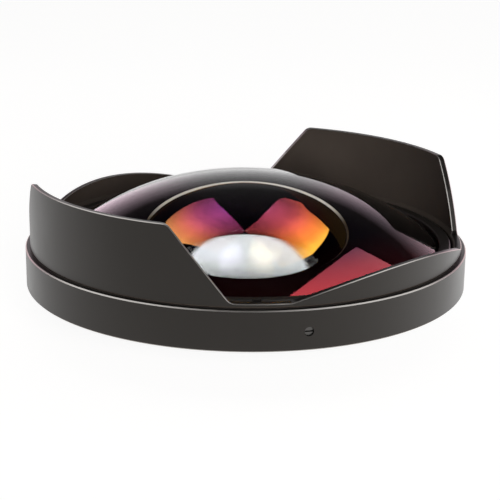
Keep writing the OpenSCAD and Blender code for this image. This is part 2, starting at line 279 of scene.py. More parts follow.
def spoke_points(axial: np.ndarray, side: np.ndarray, up: np.ndarray, degrees: float,
                 height: float) -> np.ndarray:
    """Puts points of a radial screw into the lens's frame: its own axis points outwards at its angle.

    Args:
        axial: Distance of each row from the lens's axis, along the screw.
        side: Distance of each point to the screw's side.
        up: Distance of each point above the screw's axis.
        degrees: Angle of the screw round the lens.
        height: Height of the screw's axis.

    Returns:
        Points by row and column.
    """
    c, s = math.cos(math.radians(degrees)), math.sin(math.radians(degrees))
    along = np.broadcast_to(axial[:, None], side.shape)
    return np.stack([along * c - side * s, along * s + side * c, height + up], -1)


@dataclass(frozen=True)
class Drilling:
    """A row of radial holes through a turned wall, each in a square block of columns and rows."""

    angles: tuple[float, ...]
    height: float
    radius: float
    block: int
    half_width: float
    between: int
    rings: int = 5
    crowding: float = 0.7

    @property
    def centres(self) -> np.ndarray:
        """Angles of the holes in order, in radians."""
        return np.radians(np.sort(np.asarray(self.angles)))

    def columns(self) -> tuple[np.ndarray, np.ndarray]:
        """Gives the angles of the columns, with a block of columns round each hole and plain ones between.

        Returns:
            The angles of all columns, and the first column of each block.
        """
        centres = self.centres
        gaps = (np.roll(centres, -1) - centres) % FULL_TURN
        block = centres[:, None] + np.linspace(-self.half_width, self.half_width, self.block + 1)
        ends = centres + self.half_width, centres + gaps - self.half_width
        plain = np.linspace(*ends, self.between + 1, axis=1)[:, 1:-1]
        runs = np.concatenate([block, plain], 1)
        return runs.ravel(), np.arange(len(runs)) * runs.shape[1]

    def loop(self, first: int, low: int, high: int, columns: int) -> np.ndarray:
        """Gives the point numbers round a block, from its lower corner along its foot, and back over its top.

        Args:
            first: First column of the block.
            low: Row at the block's foot.
            high: Row at the block's top.
            columns: Number of columns of the grid.

        Returns:
            Point numbers in order.
        """
        across = np.arange(self.block)
        step = 1 if high > low else -1
        foot = low * columns + first + across
        right = (low + step * across) * columns + first + self.block
        top = high * columns + first + self.block - across
        left = (high - step * across) * columns + first
        return np.concatenate([foot, right, top, left])

    @staticmethod
    def _strips(loops: np.ndarray) -> np.ndarray:
        """Joins closed loops of point numbers, each to the next, into quads."""
        after = np.roll(loops, -1, 1)
        return np.stack([loops[:-1], loops[1:], after[1:], after[:-1]], -1).reshape(-1, 4)

    def drilled(self, rows: np.ndarray, tags: np.ndarray, outer: tuple[int, int], inner: tuple[int, int],
                tag: int) -> Surface:
        """Turns a profile and cuts the holes: each block gives way to rings from its square edge to a circle.

        Args:
            rows: Radius and height of each row.
            tags: Finish number after each row.
            outer: Rows at the foot and the top of the outer wall's block.
            inner: Rows at the foot and the top of the inner wall's block.
            tag: Finish number of the holes' walls.

        Returns:
            The drilled surface.
        """
        angle, firsts = self.columns()
        blank = grid_surface(turned_points(rows, angle), tags)
        row, column = blank.quads.min(1) // len(angle), blank.quads[:, 0] % len(angle)
        corner = math.radians(-135.0)
        turn = corner + np.arange(4 * self.block) * FULL_TURN / (4 * self.block)
        side, rise = self.radius * np.cos(turn), self.height + self.radius * np.sin(turn)
        share = (np.linspace(0.0, 1.0, self.rings + 1)[1:] ** self.crowding)[:, None]
        keep = np.ones(len(blank.quads), bool)
        points, quads, marks = [blank.points], [], []
        for first, centre in zip(firsts, self.centres):
            circles = []
            for low, high in (outer, inner):
                block = (column >= first) & (column < first + self.block)
                block &= (row >= min(low, high)) & (row < max(low, high))
                keep &= ~block
                loop = self.loop(first, low, high, len(angle))
                edge = blank.points[loop]
                wall = np.hypot(edge[0, 0], edge[0, 1])
                offset = (np.arctan2(edge[:, 1], edge[:, 0]) - centre + math.pi) % FULL_TURN - math.pi
                swing = (1 - share) * offset + share * np.arcsin(side / wall)
                level = (1 - share) * edge[:, 2] + share * rise
                ring = np.stack([wall * np.cos(centre + swing), wall * np.sin(centre + swing), level], -1)
                numbers = sum(map(len, points)) + np.arange(level.size).reshape(level.shape)
                points.append(ring.reshape(-1, 3))
                quads.append(self._strips(np.concatenate([loop[None], numbers])))
                marks.append(np.full(len(quads[-1]), blank.tags[block][0]))
                circles.append(numbers[-1])
            quads.append(self._strips(np.stack(circles)))
            marks.append(np.full(len(quads[-1]), tag))
        return Surface(
            np.concatenate(points),
            np.concatenate([blank.quads[keep], *quads]),
            np.concatenate([blank.tags[keep], *marks]),
        )


def make_piece(name: str, surface: Surface, materials: Sequence[bpy.types.Material],
               nodes: Sequence[str] = (), body: Body = Body.BARREL, closed: bool = True,
               crease: float = 32.0) -> bpy.types.Object:
    """Makes a piece from a surface, closes its seams and poles, and puts it on its body.

    Args:
        name: Name of the piece.
        surface: Its surface.
        materials: Its finishes, by number.
        nodes: Nodes of the frame that it stands for.
        body: Body that it rides on.
        closed: Whether the surface is a closed shell, whose faces are turned outwards.
        crease: Angle in degrees over which an edge stays sharp.

    Returns:
        The piece's object.
    """
    mesh = bpy.data.meshes.new(name)
    mesh.from_pydata(surface.points * MM, [], surface.quads)
    mesh.polygons.foreach_set("material_index", surface.tags.astype(np.int32))
    for material in materials:
        mesh.materials.append(material)
    shell = bmesh.new()
    shell.from_mesh(mesh)
    bmesh.ops.remove_doubles(shell, verts=shell.verts, dist=MERGE_WITHIN)
    bmesh.ops.dissolve_degenerate(shell, edges=shell.edges, dist=COLLAPSE_WITHIN)
    if closed:
        bmesh.ops.recalc_face_normals(shell, faces=shell.faces)
    shell.to_mesh(mesh)
    shell.free()
    mesh.shade_smooth()
    mesh.set_sharp_from_angle(angle=math.radians(crease))
    piece = bpy.data.objects.new(name, mesh)
    bpy.context.scene.collection.objects.link(piece)
    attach(piece, body.value)
    if nodes:
        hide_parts(*nodes)
    LOG.info("piece %s: %d faces on %s", name, len(mesh.polygons), body.value)
    return piece


class ShaderTree:
    """Short calls for adding nodes and links to one node tree."""

    def __init__(self, tree: bpy.types.NodeTree) -> None:
        """Keeps the tree and clears it."""
        self.tree = tree
        self.tree.nodes.clear()

    def feed(self, target: Socket, value: Input) -> None:
        """Links an output to an input, or sets the input's own value.

        Args:
            target: The input.
            value: An output to link, or a number, vector or colour.
        """
        if isinstance(value, Socket):
            self.tree.links.new(value, target)
        else:
            target.default_value = value

    def fill(self, node: bpy.types.Node, **values: Input) -> None:
        """Feeds a node's inputs by name, with _ for a space in an input's name."""
        for name, value in values.items():
            self.feed(node.inputs[name.replace("_", " ")], value)

    def add(self, kind: str, settings: dict[str, object] | None = None, **values: Input) -> bpy.types.Node:
        """Adds a node.

        Args:
            kind: Type of the node.
            settings: Properties of the node.
            **values: What goes into its inputs, with _ for a space in an input's name.

        Returns:
            The node.
        """
        node = self.tree.nodes.new(kind)
        for name, value in (settings or {}).items():
            setattr(node, name, value)
        self.fill(node, **values)
        return node

    def _operation(self, kind: str, operation: str, values: Sequence[Input]) -> bpy.types.Node:
        """Adds a node that works out an operation on its first inputs.

        Args:
            kind: Type of the node.
            operation: What it works out.
            values: What goes into its inputs, in order.

        Returns:
            The node.
        """
        node = self.add(kind, {"operation": operation})
        for target, value in zip(node.inputs, values):
            self.feed(target, value)
        return node

    def number(self, operation: str, *values: Input) -> Socket:
        """Works out a number from numbers."""
        return self._operation("ShaderNodeMath", operation, values).outputs["Value"]

    def vector(self, operation: str, *values: Input) -> Socket:
        """Works out a vector from vectors."""
        return self._operation("ShaderNodeVectorMath", operation, values).outputs["Vector"]

    def length(self, vector: Socket) -> Socket:
        """Gives a vector's length."""
        return self._operation("ShaderNodeVectorMath", "LENGTH", [vector]).outputs["Value"]

    def along(self, vector: Socket, axis: Sequence[float]) -> Socket:
        """Gives how far a vector reaches along an axis."""
        return self._operation("ShaderNodeVectorMath", "DOT_PRODUCT", [vector, axis]).outputs["Value"]

    def ranged(self, value: Socket, start: float = 0.0, end: float = 1.0, low: float = 0.0, high: float = 1.0,
               smooth: bool = False) -> Socket:
        """Carries a number from one range into another, and holds it at both ends.

        Args:
            value: The number.
            start: Number at which the range starts.
            end: Number at which it ends.
            low: Result at the start.
            high: Result at the end.
            smooth: Whether the result leaves and arrives gently.

        Returns:
            The result.
        """
        settings = {"interpolation_type": "SMOOTHSTEP" if smooth else "LINEAR"}
        ends = {"From_Min": start, "From_Max": end, "To_Min": low, "To_Max": high}
        return self.add("ShaderNodeMapRange", settings, Value=value, **ends).outputs["Result"]

    def blend(self, factor: Socket, a: Input, b: Input) -> Socket:
        """Passes from one number to another as the factor grows from 0 to 1."""
        return self.add("ShaderNodeMix", {"data_type": "FLOAT"}, Factor=factor, A=a, B=b).outputs["Result"]

    def tint(self, factor: Socket, a: Input, b: Input) -> Socket:
        """Passes from one colour to another as the factor grows from 0 to 1."""
        return self.add("ShaderNodeMix", {"data_type": "RGBA"}, Factor=factor, A=a, B=b).outputs["Result"]

    def place(self, space: str = "Object") -> Socket:
        """Gives each point's place."""
        return self.add("ShaderNodeTexCoord").outputs[space]

    def facing(self) -> Socket:
        """Gives how far the surface slants away from the eye."""
        return self.add("ShaderNodeLayerWeight", Blend=EVEN_BLEND).outputs["Facing"]

    def round_axis(self) -> tuple[Socket, Socket]:
        """Works out where each point lies about the lens's axis.

        Returns:
            The distance from the axis, and the height.
        """
        split = self.add("ShaderNodeSeparateXYZ", Vector=self.place()).outputs
        flat = self.add("ShaderNodeCombineXYZ", X=split["X"], Y=split["Y"])
        return self.length(flat.outputs["Vector"]), split["Z"]


def new_tree(owner: bpy.types.Material | bpy.types.World) -> ShaderTree:
    """Gives a material or a world an empty tree."""
    owner.use_nodes = True
    return ShaderTree(owner.node_tree)


def new_material(name: str) -> tuple[bpy.types.Material, ShaderTree, bpy.types.Node]:
    """Makes a material with one Principled shader.

    Args:
        name: Name of the material.

    Returns:
        The material, its tree and its shader node.
    """
    material = bpy.data.materials.new(name)
    tree = new_tree(material)
    shader = tree.add("ShaderNodeBsdfPrincipled")
    tree.add("ShaderNodeOutputMaterial", Surface=shader.outputs["BSDF"])
    return material, tree, shader


def opaque(colour: Colour, factor: float = 1.0) -> tuple[float, float, float, float]:
    """Gives a colour with alpha, times a factor."""
    return (colour[0] * factor, colour[1] * factor, colour[2] * factor, 1.0)


class EffectGroups:
    """Shader groups that several finishes share."""

    def __init__(self) -> None:
        """Builds each group once."""
        self.blast = self._blast()
        self.turning = self._turning()

    @staticmethod
    def _group(name: str, inputs: dict[str, float],
               outputs: Sequence[str]) -> tuple[ShaderTree, object, object]:
        """Makes an empty group.

        Args:
            name: Name of the group.
            inputs: Name and default of each input.
            outputs: Names of its outputs.

        Returns:
            The group's tree, its input sockets and its output node.
        """
        group = bpy.data.node_groups.new(name, "ShaderNodeTree")
        for label, default in inputs.items():
            socket = group.interface.new_socket(label, in_out="INPUT", socket_type="NodeSocketFloat")
            socket.default_value = default
        for label in outputs:
            group.interface.new_socket(label, in_out="OUTPUT", socket_type="NodeSocketFloat")
        tree = ShaderTree(group)
        return tree, tree.add("NodeGroupInput").outputs, tree.add("NodeGroupOutput")

    def _blast(self) -> bpy.types.NodeTree:
        """Makes the fine speckle of a bead-blasted surface, with a slow drift of tone.

        Returns:
            The group.
        """
        inputs = {"Fineness": GRAIN_FINENESS, "Drift": GRAIN_DRIFT}
        tree, entry, leave = self._group("blasted_grain", inputs, ["Height", "Tone"])
        noise = "ShaderNodeTexNoise"
        place = tree.place()
        speckle = tree.add(noise, Vector=place, Scale=entry["Fineness"], Detail=2.0, Roughness=0.6)
        drift = tree.add(noise, Vector=place, Scale=entry["Drift"], Detail=3.0, Roughness=0.55)
        height = speckle.outputs["Fac"]
        tone = tree.number("MULTIPLY_ADD", height, SPECKLE_SHARE, drift.outputs["Fac"])
        tree.fill(leave, Height=height, Tone=tone)
        return tree.tree

    def _turning(self) -> bpy.types.NodeTree:
        """Makes the fine rings of a turned surface, which follow the radius and the height.

        Returns:
            The group.
        """
        tree, entry, leave = self._group("turning_marks", {"Fineness": MARK_FINENESS}, ["Height"])
        reach, height = tree.round_axis()
        path = tree.add("ShaderNodeCombineXYZ", X=reach, Y=height).outputs["Vector"]
        marks = tree.add("ShaderNodeTexNoise", {"noise_dimensions": "2D"}, Vector=path,
                         Scale=entry["Fineness"], Detail=2.0, Roughness=0.7)
        tree.fill(leave, Height=marks.outputs["Fac"])
        return tree.tree


def blasted(tree: ShaderTree, groups: EffectGroups, colour: Colour,
            tone: float) -> tuple[bpy.types.Node, Socket]:
    """Adds the blasted grain to a material, and a colour that drifts with it.

    Args:
        tree: The material's tree.
        groups: Shared effects.
        colour: Middle of the colour's drift.
        tone: Share by which it grows darker and lighter.

    Returns:
        The grain's node, and the colour.
    """
    grain = tree.add("ShaderNodeGroup", {"node_tree": groups.blast})
    return grain, tree.tint(grain.outputs["Tone"], opaque(colour, 1.0 - tone), opaque(colour, 1.0 + tone))


@dataclass(frozen=True)
class MetalFinish:
    """Anodised, blackened or bare metal, with blasted grain and turning marks."""

    name: str
    colour: Colour
    roughness: float
    spread: float = 0.08
    metallic: float = 0.0
    level: float = 0.5
    grain: float = 0.15
    marks: float = 0.0
    tone: float = 0.35
    gloss: Colour = (1.0, 0.94, 0.88)

    def build(self, groups: EffectGroups) -> bpy.types.Material:
        """Makes the material.

        Args:
            groups: Shared effects.

        Returns:
            The material.
        """
        material, tree, shader = new_material(self.name)
        grain, colour = blasted(tree, groups, self.colour, self.tone)
        smoothest, roughest = self.roughness - self.spread, self.roughness + self.spread
        bump = tree.add("ShaderNodeBump", Strength=self.grain, Distance=BUMP_DEPTH)
        tree.fill(bump, Height=grain.outputs["Height"])
        if self.marks > 0.0:
            turning = tree.add("ShaderNodeGroup", {"node_tree": groups.turning}).outputs["Height"]
            rings = tree.add("ShaderNodeBump", Strength=self.marks, Distance=BUMP_DEPTH, Height=turning)
            tree.fill(bump, Normal=rings.outputs["Normal"])
        tree.fill(shader, Metallic=self.metallic, Specular_IOR_Level=self.level,
                  Specular_Tint=opaque(self.gloss), Base_Color=colour, Normal=bump.outputs["Normal"],
                  Roughness=tree.ranged(grain.outputs["Tone"], low=smoothest, high=roughest))
        return material


@dataclass(frozen=True)
class PaintFinish:
    """Matt paint, rubber or ground glass, with a fine drift of tone, and, if one is given, a painted shade
    colour that it turns towards as the surface slants away from the eye.
    """

    name: str
    colour: Colour
    roughness: float
    level: float
    tone: float = 0.2
    painted_slant_shade: Colour | None = None
    slant_start: float = 0.22
    slant_end: float = 0.5

    def build(self, groups: EffectGroups) -> bpy.types.Material:
        """Makes the material.

        Args:
            groups: Shared effects.

        Returns:
            The material.
        """
        material, tree, shader = new_material(self.name)
        _, colour = blasted(tree, groups, self.colour, self.tone)
        # Painted shade by view angle: the colour darkens towards the slant colour where the surface slants
        # away from the eye, so a pale face looks bright only where it is seen square-on.
        if self.painted_slant_shade is not None:
            share = tree.ranged(tree.facing(), self.slant_start, self.slant_end, smooth=True)
            colour = tree.tint(share, colour, opaque(self.painted_slant_shade))
        tree.fill(shader, Base_Color=colour, Roughness=self.roughness, Specular_IOR_Level=self.level)
        return material


@dataclass(frozen=True)
class GlassFinish:
    """Clear polished glass."""

    name: str
    colour: Colour
    ior: float
    glare: Colour

    def build(self) -> bpy.types.Material:
        """Makes the material.

        Returns:
            The material.
        """
        material, tree, shader = new_material(self.name)
        tree.fill(shader, Base_Color=opaque(self.colour), Transmission_Weight=1.0, Roughness=0.0,
                  IOR=self.ior, Specular_Tint=opaque(self.glare))
        return material


@dataclass(frozen=True)
class CoatingFinish:
    """Thin mirror coating: its colour follows the distance from the axis, and its cover the slant.

    A bend under 1 shrinks the level part of its surface directions, so that it mirrors like a flatter bowl.
    """

    name: str
    inner: float
    outer: float
    colours: tuple[tuple[float, Colour], ...]
    square_on: float
    slanting: float
    slant_start: float
    slant_end: float
    roughness: float = 0.04
    centre: float = 0.0
    bend: float = 1.0

    def build(self) -> bpy.types.Material:
        """Makes the material.

        Returns:
            The material.
        """
        material, tree, shader = new_material(self.name)
        reach, _ = tree.round_axis()
        ramp = tree.add("ShaderNodeValToRGB", Fac=tree.ranged(reach, self.inner * MM, self.outer * MM))
        stops = ramp.color_ramp.elements
        for stop, (position, colour) in zip(stops, (self.colours[0], self.colours[-1])):
            stop.position = position
            stop.color = opaque(colour)
        for position, colour in self.colours[1:-1]:
            stops.new(position).color = opaque(colour)
        cover = tree.ranged(tree.facing(), self.slant_start, self.slant_end, self.square_on, self.slanting,
                            smooth=True)
        tree.fill(shader, Metallic=1.0, Roughness=self.roughness, Specular_IOR_Level=0.0,
                  Base_Color=ramp.outputs["Color"], Alpha=cover)
        if self.bend < 1.0:
            outwards = tree.vector("SUBTRACT", tree.place(), (0.0, 0.0, self.centre * MM))
            flatter = tree.vector("MULTIPLY", outwards, (self.bend, self.bend, 1.0))
            spaces = {"vector_type": "NORMAL", "convert_from": "OBJECT", "convert_to": "WORLD"}
            direction = tree.add("ShaderNodeVectorTransform", spaces, Vector=flatter)
            tree.fill(shader, Normal=direction.outputs["Vector"])
        return material


class Finishes:
    """All finishes of the lens, each built once."""

    def __init__(self) -> None:
        """Builds the materials."""
        groups = EffectGroups()
        black = (0.0055, 0.0048, 0.0043)
        self.band = MetalFinish("band_anodised", black, 0.29, grain=0.12, marks=0.10).build(groups)
        self.hood = MetalFinish("hood_anodised", black, 0.30, grain=0.16).build(groups)
        self.hood_inside = MetalFinish(
            "hood_inside_matt", (0.043, 0.0358, 0.0308), 0.7, level=0.08, grain=0.2).build(groups)
        self.edge = MetalFinish(
            "bright_edge", (0.37, 0.355, 0.34), 0.32, metallic=0.9, grain=0.05, tone=0.15).build(groups)
        self.ring = MetalFinish(
            "ring_anodised", (0.012, 0.011, 0.0105), 0.36, grain=0.08, marks=0.14).build(groups)
        self.inner = MetalFinish(
            "inner_matt_black", (0.006, 0.006, 0.006), 0.7, level=0.2, marks=0.15).build(groups)
        self.steel = MetalFinish(
            "blackened_steel", (0.11, 0.106, 0.102), 0.36, metallic=1.0, grain=0.2).build(groups)
        self.paint = PaintFinish("edge_blacking", (0.004, 0.004, 0.004), 0.9, 0.0).build(groups)
        # Pale ground glass for the bowl's rim bevel, which darkens to brown where it slants away from the
        # eye: painted shade by view angle.
        self.ground = PaintFinish(
            "ground_glass_painted_shade", (0.90, 0.88, 0.85), 0.85, 0.2, tone=0.08, painted_slant_shade=(0.10, 0.075, 0.05)).build(groups)
        self.rubber = PaintFinish("seal_rubber_black", (0.02, 0.02, 0.02), 0.8, 0.3).build(groups)
        self.front_glass = GlassFinish(
            "front_glass_clear", (0.99, 0.995, 1.0), 1.4, (0.10, 0.06, 0.09)).build()
        self.rear_glass = GlassFinish(
            "rear_glass_clear", (0.98, 0.995, 1.0), 1.6, (0.25, 0.25, 0.3)).build()
        self.bowl_coating = CoatingFinish(
            "bowl_coating", inner=4.0, outer=24.0,
            colours=(
                (0.05, (0.15, 0.040, 0.16)), (0.2, (0.195, 0.029, 0.105)), (0.35, (0.20, 0.030, 0.08)),
                (0.45, (0.265, 0.043, 0.078)), (0.55, (0.41, 0.083, 0.077)), (0.65, (0.48, 0.126, 0.052)),
                (0.75, (0.485, 0.175, 0.041)), (0.85, (0.57, 0.325, 0.058)), (1.0, (0.60, 0.42, 0.08)),
            ),
            square_on=0.2, slanting=0.95, slant_start=0.13, slant_end=0.165,
            roughness=0.012, centre=-6.21, bend=0.25).build()
        self.dome_coating = CoatingFinish(
            "dome_coating", inner=20.0, outer=56.0,
            colours=(
                (0.0, (0.10, 0.06, 0.10)), (0.6, (0.03, 0.008, 0.08)), (0.8, (0.52, 0.06, 0.095)),
                (1.0, (0.97, 0.095, 0.115)),
            ),
            square_on=0.32, slanting=0.04, slant_start=0.48, slant_end=0.62).build()


@dataclass
class Band:
    """The band: its outer wall with the screw holes, the slot for the hood and the front glass's seat."""

    radius: float = 64.0
    foot: float = 13.0
    top: float = 24.1
    edge: float = 0.3
    bore: float = 61.8
    slot_floor: float = 15.7
    collar: float = 59.9
    collar_in: float = 58.0
    thread: float = 58.95
    thread_foot: float = 21.1
    seat: float = 18.3
    seat_in: float = 51.8
    ease: float = 0.12
    drilling: Drilling = Drilling(
        angles=(90.0, 210.0, 330.0), height=18.1, radius=1.25, block=16, half_width=0.066, between=72)

    def build(self, finishes: Finishes) -> Pieces:
        """Makes the band from a closed profile, with a row for each row of a block across both drilled walls.

        Args:
            finishes: The lens's finishes.

        Returns:
            Its pieces.
        """
        block = self.drilling.block
        rim = self.radius - self.edge
        before = [[self.seat_in, self.foot], [rim, self.foot]]
        wall = wall_rows(self.radius, self.foot + self.edge, self.top - self.edge, block)
        lip = [[rim, self.top], [self.bore + self.ease, self.top]]
        bore = wall_rows(self.bore, self.top - self.ease, self.slot_floor, block)
        after = [
            [self.collar, self.slot_floor], [self.collar, self.top - self.ease],
            [self.collar - self.ease, self.top], [self.thread, self.top],
            [self.thread, self.thread_foot], [self.collar_in, self.thread_foot],
            [self.collar_in, self.seat], [self.seat_in, self.seat],
        ]
        rows = np.concatenate([before, wall, lip, bore, after])
        _, bright, dark = range(3)
        wall_start = len(before)
        bore_start = wall_start + len(wall) + len(lip)
        tags = np.zeros(len(rows), int)
        tags[[wall_start - 1, wall_start + block]] = bright
        tags[bore_start:] = dark
        outer, inner = (wall_start, wall_start + block), (bore_start + block, bore_start)
        surface = self.drilling.drilled(rows, tags, outer, inner, dark)
        materials = [finishes.band, finishes.edge, finishes.inner]
        return [make_piece("band", surface, materials, ["front_barrel"])]


@dataclass
class PetalHood:
    """The petal hood: its section carried along the petals' edge, which has a height at each angle."""

    radius: float = 62.65
    inside: float = 61.15
    skirt: float = 61.75
    skirt_in: float = 60.2
    skirt_foot: float = 16.0
    foot: float = 24.15
    foot_edge: float = 0.1
    lip: float = 0.25
    groove: float = 0.35
    step: float = 25.05
    tall: float = 45.3
    low: float = 31.8
    valley: float = 25.45
    tall_top: float = 26.7
    tall_foot: float = 41.7
    low_foot: float = 56.2
    corner: float = 3.0
    chamfer: float = 0.2
    vee: float = 0.6
    vee_height: float = 18.1
    top_steps: int = 30
    corner_steps: int = 12
    flank_steps: int = 30
    floor_steps: int = 8
    arch_steps: int = 48
    wall_steps: int = 12
    wall_share: float = 0.95
    crease: float = 28.0

    def edge(self) -> tuple[np.ndarray, np.ndarray, np.ndarray]:
        """Works out the petals' edge over a quarter turn and mirrors it round the axis.

        A quarter holds half a tall petal's level top, a flank, the valley's floor and half a low petal.

        Returns:
            Outer angle, inner angle and height of the edge's points, with angles from a tall petal's middle.
        """
        middle = math.radians((self.tall_foot + self.low_foot) / 2)
        cut = self._flank(middle)
        across, arch_height = self._arch()
        share = np.linspace(0.0, 1.0, self.top_steps)[:-1]
        angles = []
        for radius in (self.radius, self.inside):
            cut_angle = middle + np.arcsin(cut[:, 0] / radius)
            quarter = np.concatenate([share * cut_angle[0], cut_angle, np.arccos(across / radius)])
            angles.append(self._whole_turn(quarter, 1.0))
        height = np.concatenate([np.full(len(share), self.tall), cut[:, 1], arch_height])
        return angles[0], angles[1], self._whole_turn(height, 0.0)

    def _flank(self, middle: float) -> np.ndarray:
        """Gives a flank: a straight line in the plane that faces the valley, rounded at its top and its foot.

        Args:
            middle: Angle of the valley's middle.

        Returns:
            Distance from the valley's middle, and height, from the tall petal's top to the low petal's foot.
        """
        top, bottom, end = (self.radius * math.sin(math.radians(degrees) - middle)
                            for degrees in (self.tall_top, self.tall_foot, self.low_foot))
        corner, foot = np.array([top, self.tall]), np.array([bottom, self.valley])
        up = (corner - foot) / np.linalg.norm(corner - foot)
        lean = math.atan2(-up[0], up[1])
        half = math.acos(up[0]) / 2
        bisector = up + np.array([1.0, 0.0])
        bisector = bisector / np.linalg.norm(bisector) * self.corner / math.sin(half)
        high = corner - bisector + self._arc(math.pi / 2, lean)
        low = foot + bisector + self._arc(math.pi + lean, 1.5 * math.pi)
        flank = np.linspace(high[-1], low[0], self.flank_steps)[1:-1]
        floor = np.linspace(low[-1], [end, self.valley], self.floor_steps)[1:]
        return np.concatenate([high, flank, low, floor])

    def _arc(self, start: float, end: float) -> np.ndarray:
        """Gives points of a corner's arc about its centre."""
        turn = np.linspace(start, end, self.corner_steps)
        return self.corner * np.stack([np.cos(turn), np.sin(turn)], -1)

    def _arch(self) -> tuple[np.ndarray, np.ndarray]:
        """Gives half of a low petal, which is an arc of a circle seen along the petal's own axis.

        Returns:
            Distance from the petal's middle and height of each point.
        """
        half_width = self.radius * math.cos(math.radians(self.low_foot))
        rise = self.low - self.valley
        arch = (half_width ** 2 + rise ** 2) / (2 * rise)
        across = half_width * np.linspace(1.0, 0.0, self.arch_steps)[1:]
        return across, self.low - arch + np.sqrt(arch ** 2 - across ** 2)

    @staticmethod
    def _whole_turn(quarter: np.ndarray, turns: float) -> np.ndarray:
        """Mirrors a quarter's values into a whole turn.

        Args:
            quarter: Values from a tall petal's middle to a low petal's middle.
            turns: 1 where the values are angles, and 0 where they are heights.

        Returns:
            Values round the whole turn.
        """
        back = turns * math.pi + (1.0 - 2.0 * turns) * quarter[::-1]
        half = np.concatenate([quarter[:-1], back[:-1]])
        return np.concatenate([half, turns * math.pi + half])

    def _inset(self, angle: np.ndarray, height: np.ndarray, radius: float) -> tuple[np.ndarray, np.ndarray]:
        """Moves the edge into the petal by the chamfer, square to the edge on the unrolled wall.

        Args:
            angle: Angles of the edge.
            height: Heights of the edge.
            radius: Radius of the wall.

        Returns:
            Angles and heights of the moved edge.
        """
        run = radius * ((np.roll(angle, -1) - np.roll(angle, 1)) % FULL_TURN)
        rise = np.roll(height, -1) - np.roll(height, 1)
        size = np.hypot(run, rise)
        return angle + self.chamfer * rise / size / radius, height - self.chamfer * run / size

    def _inner_wall(self, level: np.ndarray) -> np.ndarray:
        """Gives the inner wall's radius at a height: up from the skirt at 45 degrees, then upright."""
        return np.minimum(self.inside, self.skirt_in + level - self.step)

    def build(self, finishes: Finishes) -> Pieces:
        """Makes the hood: each row of its section is a radius and a height at every angle of the edge.

        Args:
            finishes: The lens's finishes.

        Returns:
            Its pieces.
        """
        outer, inner, height = self.edge()
        out_edge, out_height = self._inset(outer, height, self.radius)
        in_edge, in_height = self._inset(inner, height, self.inside)
        slope_top = np.minimum(self.step + self.inside - self.skirt_in, in_height)
        lip_top = self.foot + self.lip
        groove_top = lip_top + self.groove
        satin, matt, bright = range(3)
        outside = [
            (self.skirt - self.chamfer, self.skirt_foot, matt),
            (self.skirt, self.skirt_foot + self.chamfer, matt),
            (self.skirt, self.vee_height - self.vee, matt),
            (self.skirt - self.vee, self.vee_height, matt),
            (self.skirt, self.vee_height + self.vee, matt),
            (self.skirt, self.foot, satin),
            (self.radius - self.foot_edge, self.foot, bright),
            (self.radius, self.foot + self.foot_edge, satin),
            (self.radius, lip_top, matt),
            (self.radius - self.groove, lip_top, matt),
            (self.radius - self.groove, groove_top, matt),
        ]
        climb = np.linspace(0.0, self.wall_share, self.wall_steps)
        fall = [slope_top + (in_height - slope_top) * t for t in climb[::-1]]
        rows = [
            (self.skirt_in, in_edge, self.skirt_foot, matt),
            *((radius, out_edge, level, tag) for radius, level, tag in outside),
            *((self.radius, out_edge, groove_top + (out_height - groove_top) * t, satin) for t in climb),
            (self.radius, out_edge, out_height, bright),
            (self.radius - self.chamfer, outer, height, satin),
            (self._inner_wall(height) + self.chamfer, inner, height, bright),
            (self._inner_wall(in_height), in_edge, in_height, matt),
            *((self._inner_wall(level), in_edge, level, matt) for level in fall),
            (self.skirt_in, in_edge, self.step, matt),
        ]
        points = np.stack([
            np.stack(np.broadcast_arrays(radius * np.sin(angle), radius * np.cos(angle), level), -1)
            for radius, angle, level, _ in rows
        ])
        surface = grid_surface(points, np.array([tag for *_, tag in rows]))
        materials = [finishes.hood, finishes.hood_inside, finishes.edge]
        return [make_piece("petal_hood", surface, materials, ["hood"], Body.HOOD,
                           crease=self.crease)]


